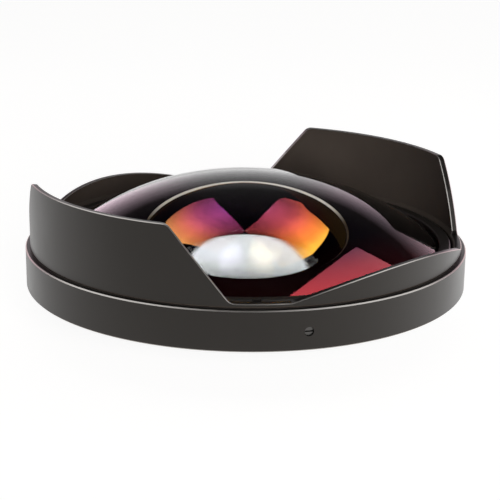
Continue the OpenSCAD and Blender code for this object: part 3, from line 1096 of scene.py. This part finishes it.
@dataclass
class SetScrews:
    """The slotted cone-point screws that lock the hood."""

    angles: tuple[float, ...] = (90.0, 210.0, 330.0)
    height: float = 18.1
    radius: float = 1.2
    point: float = 61.25
    point_radius: float = 0.1
    head: float = 63.5
    slot: float = 0.4
    slot_depth: float = 0.5
    edge: float = 0.1
    overlap: float = 0.05
    head_steps: int = 24
    shank_steps: int = 48

    @property
    def slot_floor(self) -> float:
        """Distance of the slot's floor from the lens's axis."""
        return self.head - self.slot_depth

    def _half_head(self, flip: float, degrees: float) -> Surface:
        """Makes the half of the head on one side of the slot: a D-shaped section carried outwards.

        Args:
            flip: 1 or -1, for the side of the slot.
            degrees: Angle of the screw.

        Returns:
            Its closed surface.
        """
        start = math.asin(self.slot / 2 / self.radius)
        turn = np.linspace(start, math.pi - start, self.head_steps)
        foot = self.slot_floor - self.overlap
        axial = np.array([foot, foot, self.head - self.edge, self.head, self.head])
        scale = np.array([0.0, 1.0, 1.0, 1.0 - self.edge / self.radius, 0.0])[:, None]
        middle = 0.5 * (self.slot / 2 + self.radius)
        across = middle + (self.radius * np.sin(turn) - middle) * scale
        along = self.radius * np.cos(turn) * scale
        return grid_surface(spoke_points(axial, along, flip * across, degrees, self.height), closed=False)

    def build(self, finishes: Finishes) -> Pieces:
        """Makes the three screws: each a turned shank with a cone point, and the two halves of its head.

        Args:
            finishes: The lens's finishes.

        Returns:
            Their pieces.
        """
        cone = self.point + self.radius - self.point_radius
        axial = np.array([self.point, self.point, cone, self.slot_floor, self.slot_floor])
        size = np.array([0.0, self.point_radius, self.radius, self.radius, 0.0])[:, None]
        turn = np.linspace(0.0, FULL_TURN, self.shank_steps, endpoint=False)
        side, up = size * np.cos(turn), size * np.sin(turn)
        pieces = []
        bodies = (Body.SCREW_1, Body.SCREW_2, Body.SCREW_3)
        for number, (degrees, body) in enumerate(zip(self.angles, bodies), 1):
            shank = grid_surface(spoke_points(axial, side, up, degrees, self.height), closed=False)
            whole = Surface.joined([shank, self._half_head(1.0, degrees), self._half_head(-1.0, degrees)])
            pieces.append(make_piece(f"slotted_screw_{number}", whole, [finishes.steel],
                                     [f"set_screw_{number}"], body))
        return pieces


@dataclass
class FrontGlass:
    """The domed front glass with the bowl behind it, its coatings, its seal and its spanner ring."""

    dome: float = 92.0
    radius: float = 57.8
    edge_height: float = 22.8
    seat: float = 19.0
    bowl: float = 24.6
    bowl_foot: float = 13.0
    bowl_depth: float = 12.0
    rim_land: float = 0.15
    bowl_bevel: float = 0.6
    boss: float = 36.0
    film: float = 0.02
    dome_steps: int = 110
    bowl_steps: int = 90
    lip: float = 56.3
    ring_outer: float = 59.55
    ring_seat: float = 58.9
    ring_in: float = 58.0
    ring_foot: float = 21.2
    ring_neck: float = 24.15
    ring_top: float = 25.4
    ring_ease: float = 0.35
    ring_gap: float = 0.1
    ring_columns: int = 240
    notch_angles: tuple[float, ...] = (318.0, 138.0)
    notch_width: float = 2.5
    notch_depth: float = 0.8
    notch_steps: int = 5
    seal_in: float = 52.5
    seal_out: float = 57.6
    seal_foot: float = 18.3
    seal_ease: float = 0.2

    @property
    def top(self) -> float:
        """Height of the dome's top."""
        return self.edge_height + cap_sag(self.dome, self.radius)

    @property
    def bowl_sphere(self) -> float:
        """Radius of the bowl's sphere."""
        return (self.bowl ** 2 + self.bowl_depth ** 2) / (2 * self.bowl_depth)

    @property
    def bowl_top(self) -> float:
        """Height of the bowl's top."""
        return self.bowl_foot + self.bowl_depth

    def build(self, finishes: Finishes) -> Pieces:
        """Makes the glass, its coatings, seal and ring.

        Args:
            finishes: The lens's finishes.

        Returns:
            Their pieces.
        """
        seal = eased(box_rows(self.seal_in, self.seal_out, self.seal_foot, self.seat), self.seal_ease)
        return [
            self._glass(finishes),
            *self._coatings(finishes),
            make_piece("glass_seal", turned(seal), [finishes.rubber], ["front_seal"]),
            self._ring(finishes),
        ]

    def _glass(self, finishes: Finishes) -> bpy.types.Object:
        """Makes the glass, with blacking on its edge and back and a ground bevel round the bowl's rim.

        Args:
            finishes: The lens's finishes.

        Returns:
            The glass.
        """
        dome = cap_rows(self.dome, self.top, 0.0, self.radius, self.dome_steps)
        bowl = cap_rows(self.bowl_sphere, self.bowl_top, self.bowl, 0.0, self.bowl_steps)
        rim = self.bowl + self.rim_land
        boss_foot = self.bowl_foot + self.bowl_bevel
        back = [
            [self.radius, self.seat], [self.boss, self.seat], [self.boss, boss_foot],
            [rim + self.bowl_bevel, boss_foot], [rim, self.bowl_foot],
        ]
        rows = np.concatenate([dome, back, bowl])
        _, black, ground = range(3)
        tags = np.zeros(len(rows), int)
        tags[len(dome) - 1 : len(dome) + len(back)] = black
        tags[len(dome) + len(back) - 2] = ground
        surface = turned(rows, tags, GLASS_COLUMNS, closed=False)
        materials = [finishes.front_glass, finishes.paint, finishes.ground]
        return make_piece("front_glass", surface, materials, ["front_element"])

    def _coatings(self, finishes: Finishes) -> Pieces:
        """Makes the coatings on the dome and on the bowl, each a thin film just clear of the glass's face.

        Args:
            finishes: The lens's finishes.

        Returns:
            Both films.
        """
        dome = cap_rows(self.dome + self.film, self.top + self.film, self.lip, 0.0, self.dome_steps)
        sphere = self.bowl_sphere + self.film
        bowl = cap_rows(sphere, self.bowl_top + self.film, self.bowl, 0.0, self.bowl_steps)
        films = (("dome_film", dome, finishes.dome_coating), ("bowl_film", bowl, finishes.bowl_coating))
        return [
            make_piece(name, turned(rows, None, GLASS_COLUMNS, closed=False), [finish],
                       closed=False)
            for name, rows, finish in films
        ]

    def _ring(self, finishes: Finishes) -> bpy.types.Object:
        """Makes the spanner ring: its profile drops to the notch's floor in the columns inside a notch.

        Args:
            finishes: The lens's finishes.

        Returns:
            The ring.
        """
        half = math.asin(self.notch_width / 2 / self.ring_outer)
        centres = np.radians(self.notch_angles)
        angle, notched = notch_columns(centres, half, self.ring_columns, self.notch_steps)
        glass_edge = self.edge_height + self.ring_gap
        shoulder = self.ring_top - self.ring_ease
        below = [
            [self.lip, self.top - cap_sag(self.dome, self.lip) + self.ring_gap], [self.radius, glass_edge],
            [self.ring_in, glass_edge], [self.ring_in, self.ring_foot], [self.ring_seat, self.ring_foot],
            [self.ring_seat, self.ring_neck], [self.ring_outer, self.ring_neck],
        ]
        # The last row here stands on the first of the next list, and parts from it at a notch's inner wall.
        cut_down = [
            [self.ring_outer, shoulder], [self.ring_outer - self.ring_ease, self.ring_top],
            [self.ring_in, self.ring_top],
        ]
        left_standing = [
            [self.ring_in, self.ring_top], [self.lip + self.ring_ease, self.ring_top], [self.lip, shoulder],
        ]
        rows = np.array(below + cut_down + left_standing)
        profile = np.repeat(rows[:, None, :], len(angle), 1)
        profile[len(below) : len(below) + len(cut_down), notched, 1] = self.ring_top - self.notch_depth
        surface = grid_surface(turned_points(profile, angle))
        return make_piece("spanner_ring", surface, [finishes.ring], ["front_retaining_ring"])


@dataclass
class InnerCell:
    """The cell behind the front glass, with the second glass, its ring and the light stop."""

    outer: float = 26.3
    top: float = 12.7
    bore: float = 24.2
    body_ease: float = 0.12
    second: float = 22.6
    second_top: float = 10.9
    second_foot: float = 9.1
    second_front: float = 150.0
    second_back: float = 200.0
    second_steps: int = 40
    clear: float = 21.6
    ring_outer: float = 24.15
    ring_foot: float = 11.0
    ring_top: float = 12.2
    ring_slope: float = 0.8
    ring_ease: float = 0.1
    stop: float = 22.0
    stop_foot: float = 8.9
    stop_ease: float = 0.05
    shoulder: float = 22.2
    shoulder_foot: float = 8.4
    rear_bore: float = 24.6
    tail: float = 1.33
    fit: float = 0.1

    def build(self, finishes: Finishes) -> Pieces:
        """Makes the cell, the second glass, its ring and the stop.

        Args:
            finishes: The lens's finishes.

        Returns:
            Their pieces.
        """
        seat = self.second + self.fit
        body = [
            [self.rear_bore, self.tail], [self.outer, self.tail], [self.outer, self.top],
            [self.bore, self.top], [self.bore, self.second_top], [seat, self.second_top],
            [seat, self.stop_foot], [self.shoulder, self.stop_foot],
            [self.shoulder, self.shoulder_foot], [self.rear_bore, self.shoulder_foot],
        ]
        ring = [
            [self.clear, self.ring_foot], [self.ring_outer, self.ring_foot], [self.ring_outer, self.ring_top],
            [self.clear + self.ring_slope, self.ring_top],
        ]
        stop = box_rows(self.stop, self.second, self.stop_foot, self.second_foot)
        front_top = self.second_top + cap_sag(self.second_front, self.clear)
        back_top = self.second_foot + cap_sag(self.second_back, self.second)
        glass = turned(np.concatenate([
            cap_rows(self.second_front, front_top, 0.0, self.second, self.second_steps),
            cap_rows(self.second_back, back_top, self.second, 0.0, self.second_steps),
        ]), closed=False)
        cell = turned(eased(body, self.body_ease))
        second_ring = turned(eased(ring, self.ring_ease))
        washer = turned(eased(stop, self.stop_ease))
        black = [finishes.inner]
        return [
            make_piece("lens_cell", cell, black, ["inner_cell"]),
            make_piece("second_glass", glass, [finishes.rear_glass], ["second_element"]),
            make_piece("second_ring", second_ring, black, ["second_retaining_ring"]),
            make_piece("stop_washer", washer, black, ["light_stop"]),
        ]


@dataclass
class RearGlasses:
    """The cemented pair, the flat last glass, their spacer and the rear ring."""

    radius: float = 24.5
    pair_front: float = 200.0
    pair_top: float = 8.03
    pair_foot: float = 4.53
    pair_steps: int = 40
    bevel: float = 0.2
    spacer_width: float = 0.6
    spacer_top: float = 4.43
    spacer_foot: float = 4.03
    spacer_ease: float = 0.08
    last_foot: float = 2.73
    ring_top: float = 2.63
    ring_foot: float = 1.43
    ring_columns: int = 120
    notch_angles: tuple[float, ...] = (0.0, 180.0)
    notch_width: float = 1.4
    notch_depth: float = 0.8
    notch_steps: int = 3

    @property
    def ring_in(self) -> float:
        """Inner radius of the spacer and of the rear ring."""
        return self.radius - self.spacer_width

    def build(self, finishes: Finishes) -> Pieces:
        """Makes the rear glasses and their rings.

        Args:
            finishes: The lens's finishes.

        Returns:
            Their pieces.
        """
        front_top = self.pair_top + cap_sag(self.pair_front, self.radius)
        flat = self.radius - self.bevel
        pair = np.concatenate([
            cap_rows(self.pair_front, front_top, 0.0, self.radius, self.pair_steps),
            [[self.radius, self.pair_foot + self.bevel], [flat, self.pair_foot], [0.0, self.pair_foot]],
        ])
        last = [
            [0.0, self.spacer_foot], [flat, self.spacer_foot], [self.radius, self.spacer_foot - self.bevel],
            [self.radius, self.last_foot + self.bevel], [flat, self.last_foot], [0.0, self.last_foot],
        ]
        section = box_rows(self.ring_in, self.radius, self.spacer_foot, self.spacer_top)
        spacer = eased(section, self.spacer_ease)
        clear = [finishes.rear_glass]
        pair_nodes = ["doublet_crown", "doublet_flint"]
        return [
            make_piece("cemented_pair", turned(pair, closed=False), clear, pair_nodes),
            make_piece("last_glass", turned(last, closed=False), clear, ["rear_element"]),
            make_piece("spacer_ring", turned(spacer), [finishes.inner], ["rear_spacer"]),
            self._ring(finishes),
        ]

    def _ring(self, finishes: Finishes) -> bpy.types.Object:
        """Makes the rear ring, whose foot rises to a notch's floor on two sides.

        Args:
            finishes: The lens's finishes.

        Returns:
            The ring.
        """
        half = math.asin(self.notch_width / 2 / self.radius)
        centres = np.radians(self.notch_angles)
        angle, notched = notch_columns(centres, half, self.ring_columns, self.notch_steps)
        rows = np.array(box_rows(self.ring_in, self.radius, self.ring_foot, self.ring_top))
        profile = np.repeat(rows[:, None, :], len(angle), 1)
        profile[:2, notched, 1] = self.ring_foot + self.notch_depth
        surface = grid_surface(turned_points(profile, angle))
        return make_piece("rear_ring", surface, [finishes.inner], ["rear_retaining_ring"])


@dataclass
class RearBarrel:
    """The dished rear housing with the holes for the mount ring's screws."""

    neck: float = 33.0
    neck_foot: float = 4.2
    neck_top: float = 6.5
    neck_bore: float = 29.95
    recess: float = 7.2
    hub: float = 26.35
    hub_top: float = 11.0
    shell: float = 60.0
    rim: float = 12.2
    top: float = 13.0
    wall: float = 2.0
    spigot: float = 51.75
    spigot_in: float = 49.35
    spigot_top: float = 16.5
    ease: float = 0.15
    outside_steps: int = 40
    inside_steps: int = 24
    drilling: Drilling = Drilling(
        angles=(30.0, 150.0, 270.0), height=5.7, radius=0.8, block=8, half_width=0.03, between=56)
    grub: float = 0.75
    grub_head: float = 32.5
    grub_edge: float = 0.1
    grub_point: float = 0.15
    grub_steps: int = 36
    socket: float = 0.35
    socket_depth: float = 0.6

    def _dish(self, start: float, end: float, steps: int, wall: float) -> np.ndarray:
        """Gives rows of the dish, a sphere through the neck's top and the rim, at equal steps of radius.

        Args:
            start: Radius of the first row.
            end: Radius of the last row.
            steps: Number of rows.
            wall: Depth of the rows below the dish's outside.

        Returns:
            Radius and height of each row.
        """
        lift = (self.shell ** 2 - self.neck ** 2) / (self.rim - self.neck_top)
        centre = (lift + self.rim + self.neck_top) / 2
        sphere = math.hypot(self.shell, centre - self.rim) - wall
        radius = np.linspace(start, end, steps)
        return np.stack([radius, centre - np.sqrt(sphere ** 2 - radius ** 2)], -1)

    def build(self, finishes: Finishes) -> Pieces:
        """Makes the housing from a closed profile, and the grub screws.

        Args:
            finishes: The lens's finishes.

        Returns:
            Their pieces.
        """
        block = self.drilling.block
        foot = [[self.neck - self.ease, self.neck_foot]]
        neck = wall_rows(self.neck, self.neck_foot + self.ease, self.neck_top - self.ease, block)
        outside = self._dish(self.neck, self.shell, self.outside_steps, 0.0)
        rim = [
            [self.shell, self.top - self.ease], [self.shell - self.ease, self.top], [self.spigot, self.top],
            [self.spigot, self.spigot_top], [self.spigot_in, self.spigot_top],
        ]
        inside = self._dish(self.spigot_in, self.neck, self.inside_steps, self.wall)
        hub = [[self.neck, self.hub_top], [self.hub, self.hub_top], [self.hub, self.recess]]
        bore = wall_rows(self.neck_bore, self.recess, self.neck_foot, block)
        rows = np.concatenate([foot, neck, outside, rim, inside, hub, bore])
        _, dark = range(2)
        tags = np.zeros(len(rows), int)
        tags[len(foot) + len(neck) + len(outside) + 2 :] = dark
        neck_start, bore_start = len(foot), len(rows) - len(bore)
        outer, inner = (neck_start, neck_start + block), (bore_start + block, bore_start)
        surface = self.drilling.drilled(rows, tags, outer, inner, dark)
        materials = [finishes.band, finishes.inner]
        housing = make_piece("rear_housing", surface, materials, ["rear_barrel"])
        return [housing, self._grubs(finishes)]

    def _grubs(self, finishes: Finishes) -> bpy.types.Object:
        """Makes the three grub screws, each a turned shank with a six-sided socket in its head.

        Args:
            finishes: The lens's finishes.

        Returns:
            The screws as one piece.
        """
        turn = np.linspace(0.0, FULL_TURN, self.grub_steps, endpoint=False)
        six = self.socket / np.cos((turn + math.pi / 6) % (math.pi / 3) - math.pi / 6)
        foot, head = self.neck_bore, self.grub_head
        floor = head - self.socket_depth
        axial = np.array([foot, foot, head - self.grub_edge, head, head, floor, floor])
        shank = np.array([0.0, self.grub - self.grub_point, self.grub, self.grub - self.grub_edge])
        size = np.concatenate([np.repeat(shank[:, None], len(turn), 1), [six, six, 0.0 * six]])
        side, up = size * np.cos(turn), size * np.sin(turn)
        height = self.drilling.height
        screws = [grid_surface(spoke_points(axial, side, up, degrees, height), closed=False)
                  for degrees in self.drilling.angles]
        whole = Surface.joined(screws)
        return make_piece("grub_screws", whole, [finishes.steel], ["mount_ring_screws"])


@dataclass
class MountRing:
    """The ring with the camera thread, whose ridges climb round the axis by one pitch a turn."""

    bore: float = 26.6
    thread: float = 29.0
    length: float = 3.0
    pitch: float = 0.75
    depth: float = 0.4
    ridge_slope: float = 1.35
    ridge_flat: float = 0.1
    run_out: float = 0.4
    thread_rows: int = 49
    flange: float = 32.5
    flange_top: float = 4.2
    spigot: float = 29.9
    spigot_top: float = 7.1
    ease: float = 0.2

    def build(self, finishes: Finishes) -> Pieces:
        """Makes the ring.

        The thread's radius is its crest less the depth times a triangle wave of height over pitch less turns.

        Args:
            finishes: The lens's finishes.

        Returns:
            Its pieces.
        """
        angle = np.linspace(0.0, FULL_TURN, TURNED_COLUMNS, endpoint=False)
        level = np.linspace(0.0, self.length, self.thread_rows)[:, None]
        phase = (level / self.pitch - angle / FULL_TURN) % 1.0
        wave = np.clip(self.ridge_slope * np.abs(2.0 * phase - 1.0) - self.ridge_flat, 0.0, 1.0)
        fade = np.clip(np.minimum(level, self.length - level) / self.run_out, 0.0, 1.0)
        radius = self.thread - self.depth * (1.0 - fade * (1.0 - wave))
        ridges = np.stack([radius, np.broadcast_to(level, radius.shape)], -1)
        rim = self.flange - self.ease
        body = np.array([
            [rim, self.length], [self.flange, self.length + self.ease],
            [self.flange, self.flange_top - self.ease], [rim, self.flange_top],
            [self.spigot, self.flange_top], [self.spigot, self.spigot_top],
            [self.bore, self.spigot_top], [self.bore, self.ease], [self.bore + self.ease, 0.0],
        ])
        profile = np.concatenate([ridges, np.repeat(body[:, None, :], len(angle), 1)])
        _, dark = range(2)
        tags = np.zeros(len(profile), int)
        tags[-4:-1] = dark
        surface = grid_surface(turned_points(profile, angle), tags)
        materials = [finishes.band, finishes.inner]
        return [make_piece("mount_thread_ring", surface, materials, ["mount_ring"])]


@dataclass(frozen=True)
class Panel:
    """A soft panel: its sides go from corner to corner, straight or bowed towards a point.

    A side is its first corner, to the camera's right and away from it, and the point that it bows towards, if
    any. The offset is the panel's height. An upright panel is given to the right and up, and its offset is
    away from the camera.
    """

    name: str
    sides: Outline
    glow: Colour
    ray: Ray
    offset: float = 185.0
    upright: bool = False
    steps: int = 8

    def mirrored(self, name: str) -> "Panel":
        """Gives the same panel on the camera's other side.

        Args:
            name: Name of the new panel.

        Returns:
            The new panel.
        """
        signs = (-1.0, 1.0, -1.0, 1.0)
        sides = tuple(tuple(sign * value for sign, value in zip(signs, side)) for side in self.sides)
        return Panel(name, sides, self.glow, self.ray, self.offset, self.upright, self.steps)

    def corners(self) -> np.ndarray:
        """Gives the outline: a side from A to B that bows towards C is (1-t)(1-t) A + 2t(1-t) C + t t B.

        Returns:
            Points in order, in metres.
        """
        t = np.linspace(0.0, 1.0, self.steps, endpoint=False)[:, None]
        runs = []
        for side, after in zip(self.sides, self.sides[1:] + self.sides[:1]):
            a, b, c = np.array(side[:2]), np.array(after[:2]), np.array(side[2:])
            bowed = len(c) > 0
            runs.append((1 - t) ** 2 * a + 2 * t * (1 - t) * c + t ** 2 * b if bowed else a[None])
        across, along = np.concatenate(runs).T
        fixed = np.full(len(across), self.offset)
        away, up = (fixed, along) if self.upright else (along, fixed)
        return (np.outer(across, RIGHT) + np.outer(away, AWAY) + np.outer(up, UP)) * MM


LEFT_PANEL = Panel("panel_left", (
    (-2, 325, -16, 480), (-20, 659, -22, 694), (-36, 696, -57, 682), (-77, 590), (-83, 454),
    (-66, 310), (-48, 275), (-25, 214, -10, 261),
), (2.4, 2.1, 2.75), Ray.THROUGH_GLASS)
RIGHT_PANEL = Panel("panel_right", (
    (-2, 325), (5, 387, 10, 456), (16, 661), (20, 729, 41, 775), (66, 797), (84, 696, 83, 440),
    (63, 247, 51, 194), (34, 158, 15, 207),
), (3.4, 2.7, 1.65), Ray.THROUGH_GLASS)
FILL_PANEL = Panel("panel_fill", (
    (48, -56, 88, -6), (126, 88, 155, 92), (184, 106), (1000, 250), (1000, -400), (20, -95),
), (1.6, 1.6, 1.6), Ray.MIRRORED)
KEY_PANEL = Panel("panel_key", (
    (-400, -100), (3000, -100), (3000, 3000), (-400, 3000),
), (0.25, 0.243, 0.235), Ray.MATT)
FRONT_PANEL = Panel("panel_front", (
    (-50, 0), (550, 0), (550, 600), (-50, 600),
), (16.0, 15.4, 14.9), Ray.MATT, offset=-1200.0, upright=True)


@dataclass
class Studio:
    """Pale floor, soft panels that each light one kind of ray, a white backdrop and the camera.

    Two panels overhead show in the bowl, and two more give gloss to the edges and the dome. A wide one
    overhead and an upright one behind the camera light the matt surfaces.
    """

    camera_at: tuple[float, float, float] = (286.51, -284.76, 143.32)
    elevation: float = 16.875
    roll: float = 0.725
    lens: float = 103.23
    sensor: float = 36.0
    clip_start: float = 0.01

    floor_size: float = 4.0
    floor_glow: float = 0.89
    floor_colour: Colour = (0.3, 0.3, 0.3)
    front_dim: float = -140.0
    front_full: float = -20.0
    front_share: float = 0.72
    side_from: float = 10.0
    side_to: float = 120.0
    side_gain: float = 1.42
    under_glow: float = 1.9
    under_reach: float = 45.0

    panels: tuple[Panel, ...] = (
        LEFT_PANEL, RIGHT_PANEL, FILL_PANEL, FILL_PANEL.mirrored("panel_fill_left"), KEY_PANEL, FRONT_PANEL)
    fade_side: float = 30.0
    fade_away: float = 130.0
    fade_from: float = 2.9
    fade_to: float = 4.1
    fade_low: float = 0.5
    fade_high: float = 1.5
    far_from: float = 420.0
    far_to: float = 640.0
    far_share: float = 0.4

    backdrop_low: float = 0.06
    backdrop_top: float = 0.28
    ambient: float = 0.12
    fade_bottom: float = 0.02
    fade_top: float = 0.5
    middle_glow: float = 1.3
    flank_from: float = 0.05
    flank_to: float = 0.3
    flank_top: float = 0.44
    flank_glow: float = 2.1
    flank_low: float = 0.05
    flank_colour: Colour = (1.0, 0.77, 0.88)
    behind_from: float = -0.1
    behind_to: float = 0.3
    zenith_from: float = 0.45
    zenith_to: float = 0.95
    overhead: float = 0.12
    matt_share: float = 0.12
    room: float = 0.6
    room_from: float = -0.1
    room_to: float = -0.5
    near_glow: float = 3.0
    near_at: float = -0.5
    far_glow: float = 0.2
    far_at: float = 0.3

    def build(self) -> None:
        """Makes the floor, the panels, the world and the camera."""
        self._floor()
        for panel in self.panels:
            self._panel(panel)
        self._world()
        self._camera()

    @staticmethod
    def _flat(name: str, corners: Rows, material: bpy.types.Material) -> bpy.types.Object:
        """Makes a flat piece of the stage.

        Args:
            name: Name of the piece.
            corners: Its corners in order, in metres.
            material: Its material.

        Returns:
            The piece's object.
        """
        mesh = bpy.data.meshes.new(name)
        mesh.from_pydata([tuple(c) for c in corners], [], [tuple(range(len(corners)))])
        mesh.materials.append(material)
        piece = bpy.data.objects.new(name, mesh)
        bpy.context.scene.collection.objects.link(piece)
        return piece

    def _floor(self) -> None:
        """Makes the floor: a pale surface that takes shadows, with the backdrop's glow where it is looked at.

        For mirrored rays the glow is dimmer in front of the lens and brighter at its right. For rays through
        glass there is glow only under the lens.
        """
        material = bpy.data.materials.new("pale_floor")
        tree = new_tree(material)
        path = tree.add("ShaderNodeLightPath").outputs
        place = tree.place()
        front = tree.ranged(tree.along(place, AWAY), self.front_dim * MM, self.front_full * MM,
                            self.front_share, 1.0, smooth=True)
        gain = tree.ranged(tree.along(place, RIGHT), self.side_from * MM, self.side_to * MM,
                           1.0, self.side_gain, smooth=True)
        mirrored = tree.number("MULTIPLY", tree.number("MULTIPLY", front, gain), path["Is Glossy Ray"])
        seen = tree.number("MAXIMUM", path["Is Camera Ray"], mirrored)
        under = tree.number("LESS_THAN", tree.length(place), self.under_reach * MM)
        through = tree.number("MULTIPLY", under, path["Is Transmission Ray"])
        backdrop = tree.number("MULTIPLY", seen, self.floor_glow)
        strength = tree.number("MULTIPLY_ADD", through, self.under_glow, backdrop)
        glow = tree.add("ShaderNodeEmission", Color=WHITE, Strength=strength)
        paint = tree.add("ShaderNodeBsdfDiffuse", Color=opaque(self.floor_colour))
        both = tree.add("ShaderNodeAddShader")
        tree.feed(both.inputs[0], glow.outputs[0])
        tree.feed(both.inputs[1], paint.outputs[0])
        tree.add("ShaderNodeOutputMaterial", Surface=both.outputs[0])
        s = self.floor_size
        self._flat("floor", [(-s, -s, 0.0), (s, -s, 0.0), (s, s, 0.0), (-s, s, 0.0)], material)

    def _panel(self, panel: Panel) -> None:
        """Makes a soft panel, which lights one kind of ray and which the camera doesn't see.

        Args:
            panel: The panel.
        """
        turn = math.copysign(1.0, sum(side[0] for side in panel.sides))
        fade = (RIGHT * (turn / self.fade_side) + AWAY / self.fade_away) / MM
        material = self._glowing(panel, fade if panel.ray is Ray.THROUGH_GLASS else None)
        piece = self._flat(panel.name, panel.corners(), material)
        piece.visible_camera = False
        for ray in Ray:
            setattr(piece, f"visible_{ray.value}", ray is panel.ray)

    def _glowing(self, panel: Panel, fade: Vector | None) -> bpy.types.Material:
        """Makes a material that only gives light, evenly or with one end dimmer than the other.

        Args:
            panel: The panel that it is for.
            fade: Direction in which the light grows, or none for an even light.

        Returns:
            The material.
        """
        material = bpy.data.materials.new(panel.name)
        tree = new_tree(material)
        glow = tree.add("ShaderNodeEmission", Color=opaque(panel.glow), Strength=1.0)
        tree.add("ShaderNodeOutputMaterial", Surface=glow.outputs[0])
        if fade is not None:
            place = tree.place()
            grow = tree.ranged(tree.along(place, fade), self.fade_from, self.fade_to,
                               self.fade_low, self.fade_high)
            fall = tree.ranged(tree.along(place, AWAY), self.far_from * MM, self.far_to * MM,
                               1.0, self.far_share)
            tree.fill(glow, Strength=tree.number("MULTIPLY", grow, fall))
        return material

    def _world(self) -> None:
        """Makes the backdrop: white where the camera looks, otherwise pale at the horizon and dark overhead.

        Behind the lens it fades upwards, with brighter tinted flanks for mirrored rays. Rays through glass
        meet a room that is lit on the camera's side.
        """
        world = bpy.data.worlds.new("backdrop")
        bpy.context.scene.world = world
        tree = new_tree(world)
        path = tree.add("ShaderNodeLightPath").outputs
        place = tree.place("Generated")
        height = tree.add("ShaderNodeSeparateXYZ", Vector=place).outputs["Z"]
        away = tree.along(place, AWAY)
        aside = tree.number("ABSOLUTE", tree.along(place, RIGHT))
        near = tree.ranged(height, self.backdrop_low, self.backdrop_top, 1.0, self.ambient, smooth=True)
        middle = tree.ranged(height, self.fade_bottom, self.fade_top, self.middle_glow, self.ambient)
        flank = tree.ranged(aside, self.flank_from, self.flank_to, smooth=True)
        flank_level = tree.ranged(height, self.fade_bottom, self.flank_top, self.flank_glow, self.flank_low)
        behind = tree.ranged(away, self.behind_from, self.behind_to, smooth=True)
        horizon = tree.blend(behind, near, tree.blend(flank, middle, flank_level))
        zenith = tree.ranged(height, self.zenith_from, self.zenith_to, 1.0, self.overhead, smooth=True)
        matt = tree.ranged(path["Is Diffuse Ray"], low=1.0, high=self.matt_share)
        air = tree.number("MULTIPLY", tree.number("MULTIPLY", horizon, zenith), matt)
        clear = tree.ranged(away, self.room_from, self.room_to, 0.0, self.room, smooth=True)
        ground = tree.ranged(away, self.near_at, self.far_at, self.near_glow, self.far_glow, smooth=True)
        scattered = tree.number("MINIMUM", path["Diffuse Depth"], 1.0)
        level = tree.blend(path["Is Transmission Ray"], air, tree.blend(scattered, clear, ground))
        tinted = tree.number("MULTIPLY", tree.number("MULTIPLY", flank, behind), path["Is Glossy Ray"])
        colour = tree.tint(tinted, WHITE, opaque(self.flank_colour))
        strength = tree.number("MAXIMUM", level, path["Is Camera Ray"])
        back = tree.add("ShaderNodeBackground", Color=colour, Strength=strength)
        tree.add("ShaderNodeOutputWorld", Surface=back.outputs[0])

    def _camera(self) -> None:
        """Makes the camera at the photograph's viewing angle."""
        tilt, roll = math.radians(self.elevation), math.radians(self.roll)
        ahead = AWAY * math.cos(tilt) + Vector((0.0, 0.0, -math.sin(tilt)))
        up = AWAY * math.sin(tilt) + Vector((0.0, 0.0, math.cos(tilt)))
        side = RIGHT * math.cos(roll) + up * math.sin(roll)
        top = up * math.cos(roll) - RIGHT * math.sin(roll)
        data = bpy.data.cameras.new("camera")
        data.lens = self.lens
        data.sensor_width = self.sensor
        data.clip_start = self.clip_start
        camera = bpy.data.objects.new("camera", data)
        turn = Matrix((side, top, -ahead)).transposed().to_4x4()
        camera.matrix_world = Matrix.Translation(Vector(self.camera_at) * MM) @ turn
        bpy.context.scene.collection.objects.link(camera)
        bpy.context.scene.camera = camera


def main() -> None:
    """Builds the studio and each sub-assembly in order, and logs each piece."""
    logging.basicConfig(level=logging.INFO, format="%(message)s")
    bpy.context.scene.view_settings.view_transform = "Standard"
    Studio().build()
    finishes = Finishes()
    assemblies = (
        Band(), PetalHood(), SetScrews(), FrontGlass(), InnerCell(), RearGlasses(), RearBarrel(), MountRing(),
    )
    for assembly in assemblies:
        pieces = assembly.build(finishes)
        LOG.info("%s: %d pieces", type(assembly).__name__, len(pieces))


if __name__ == "__main__":
    main()
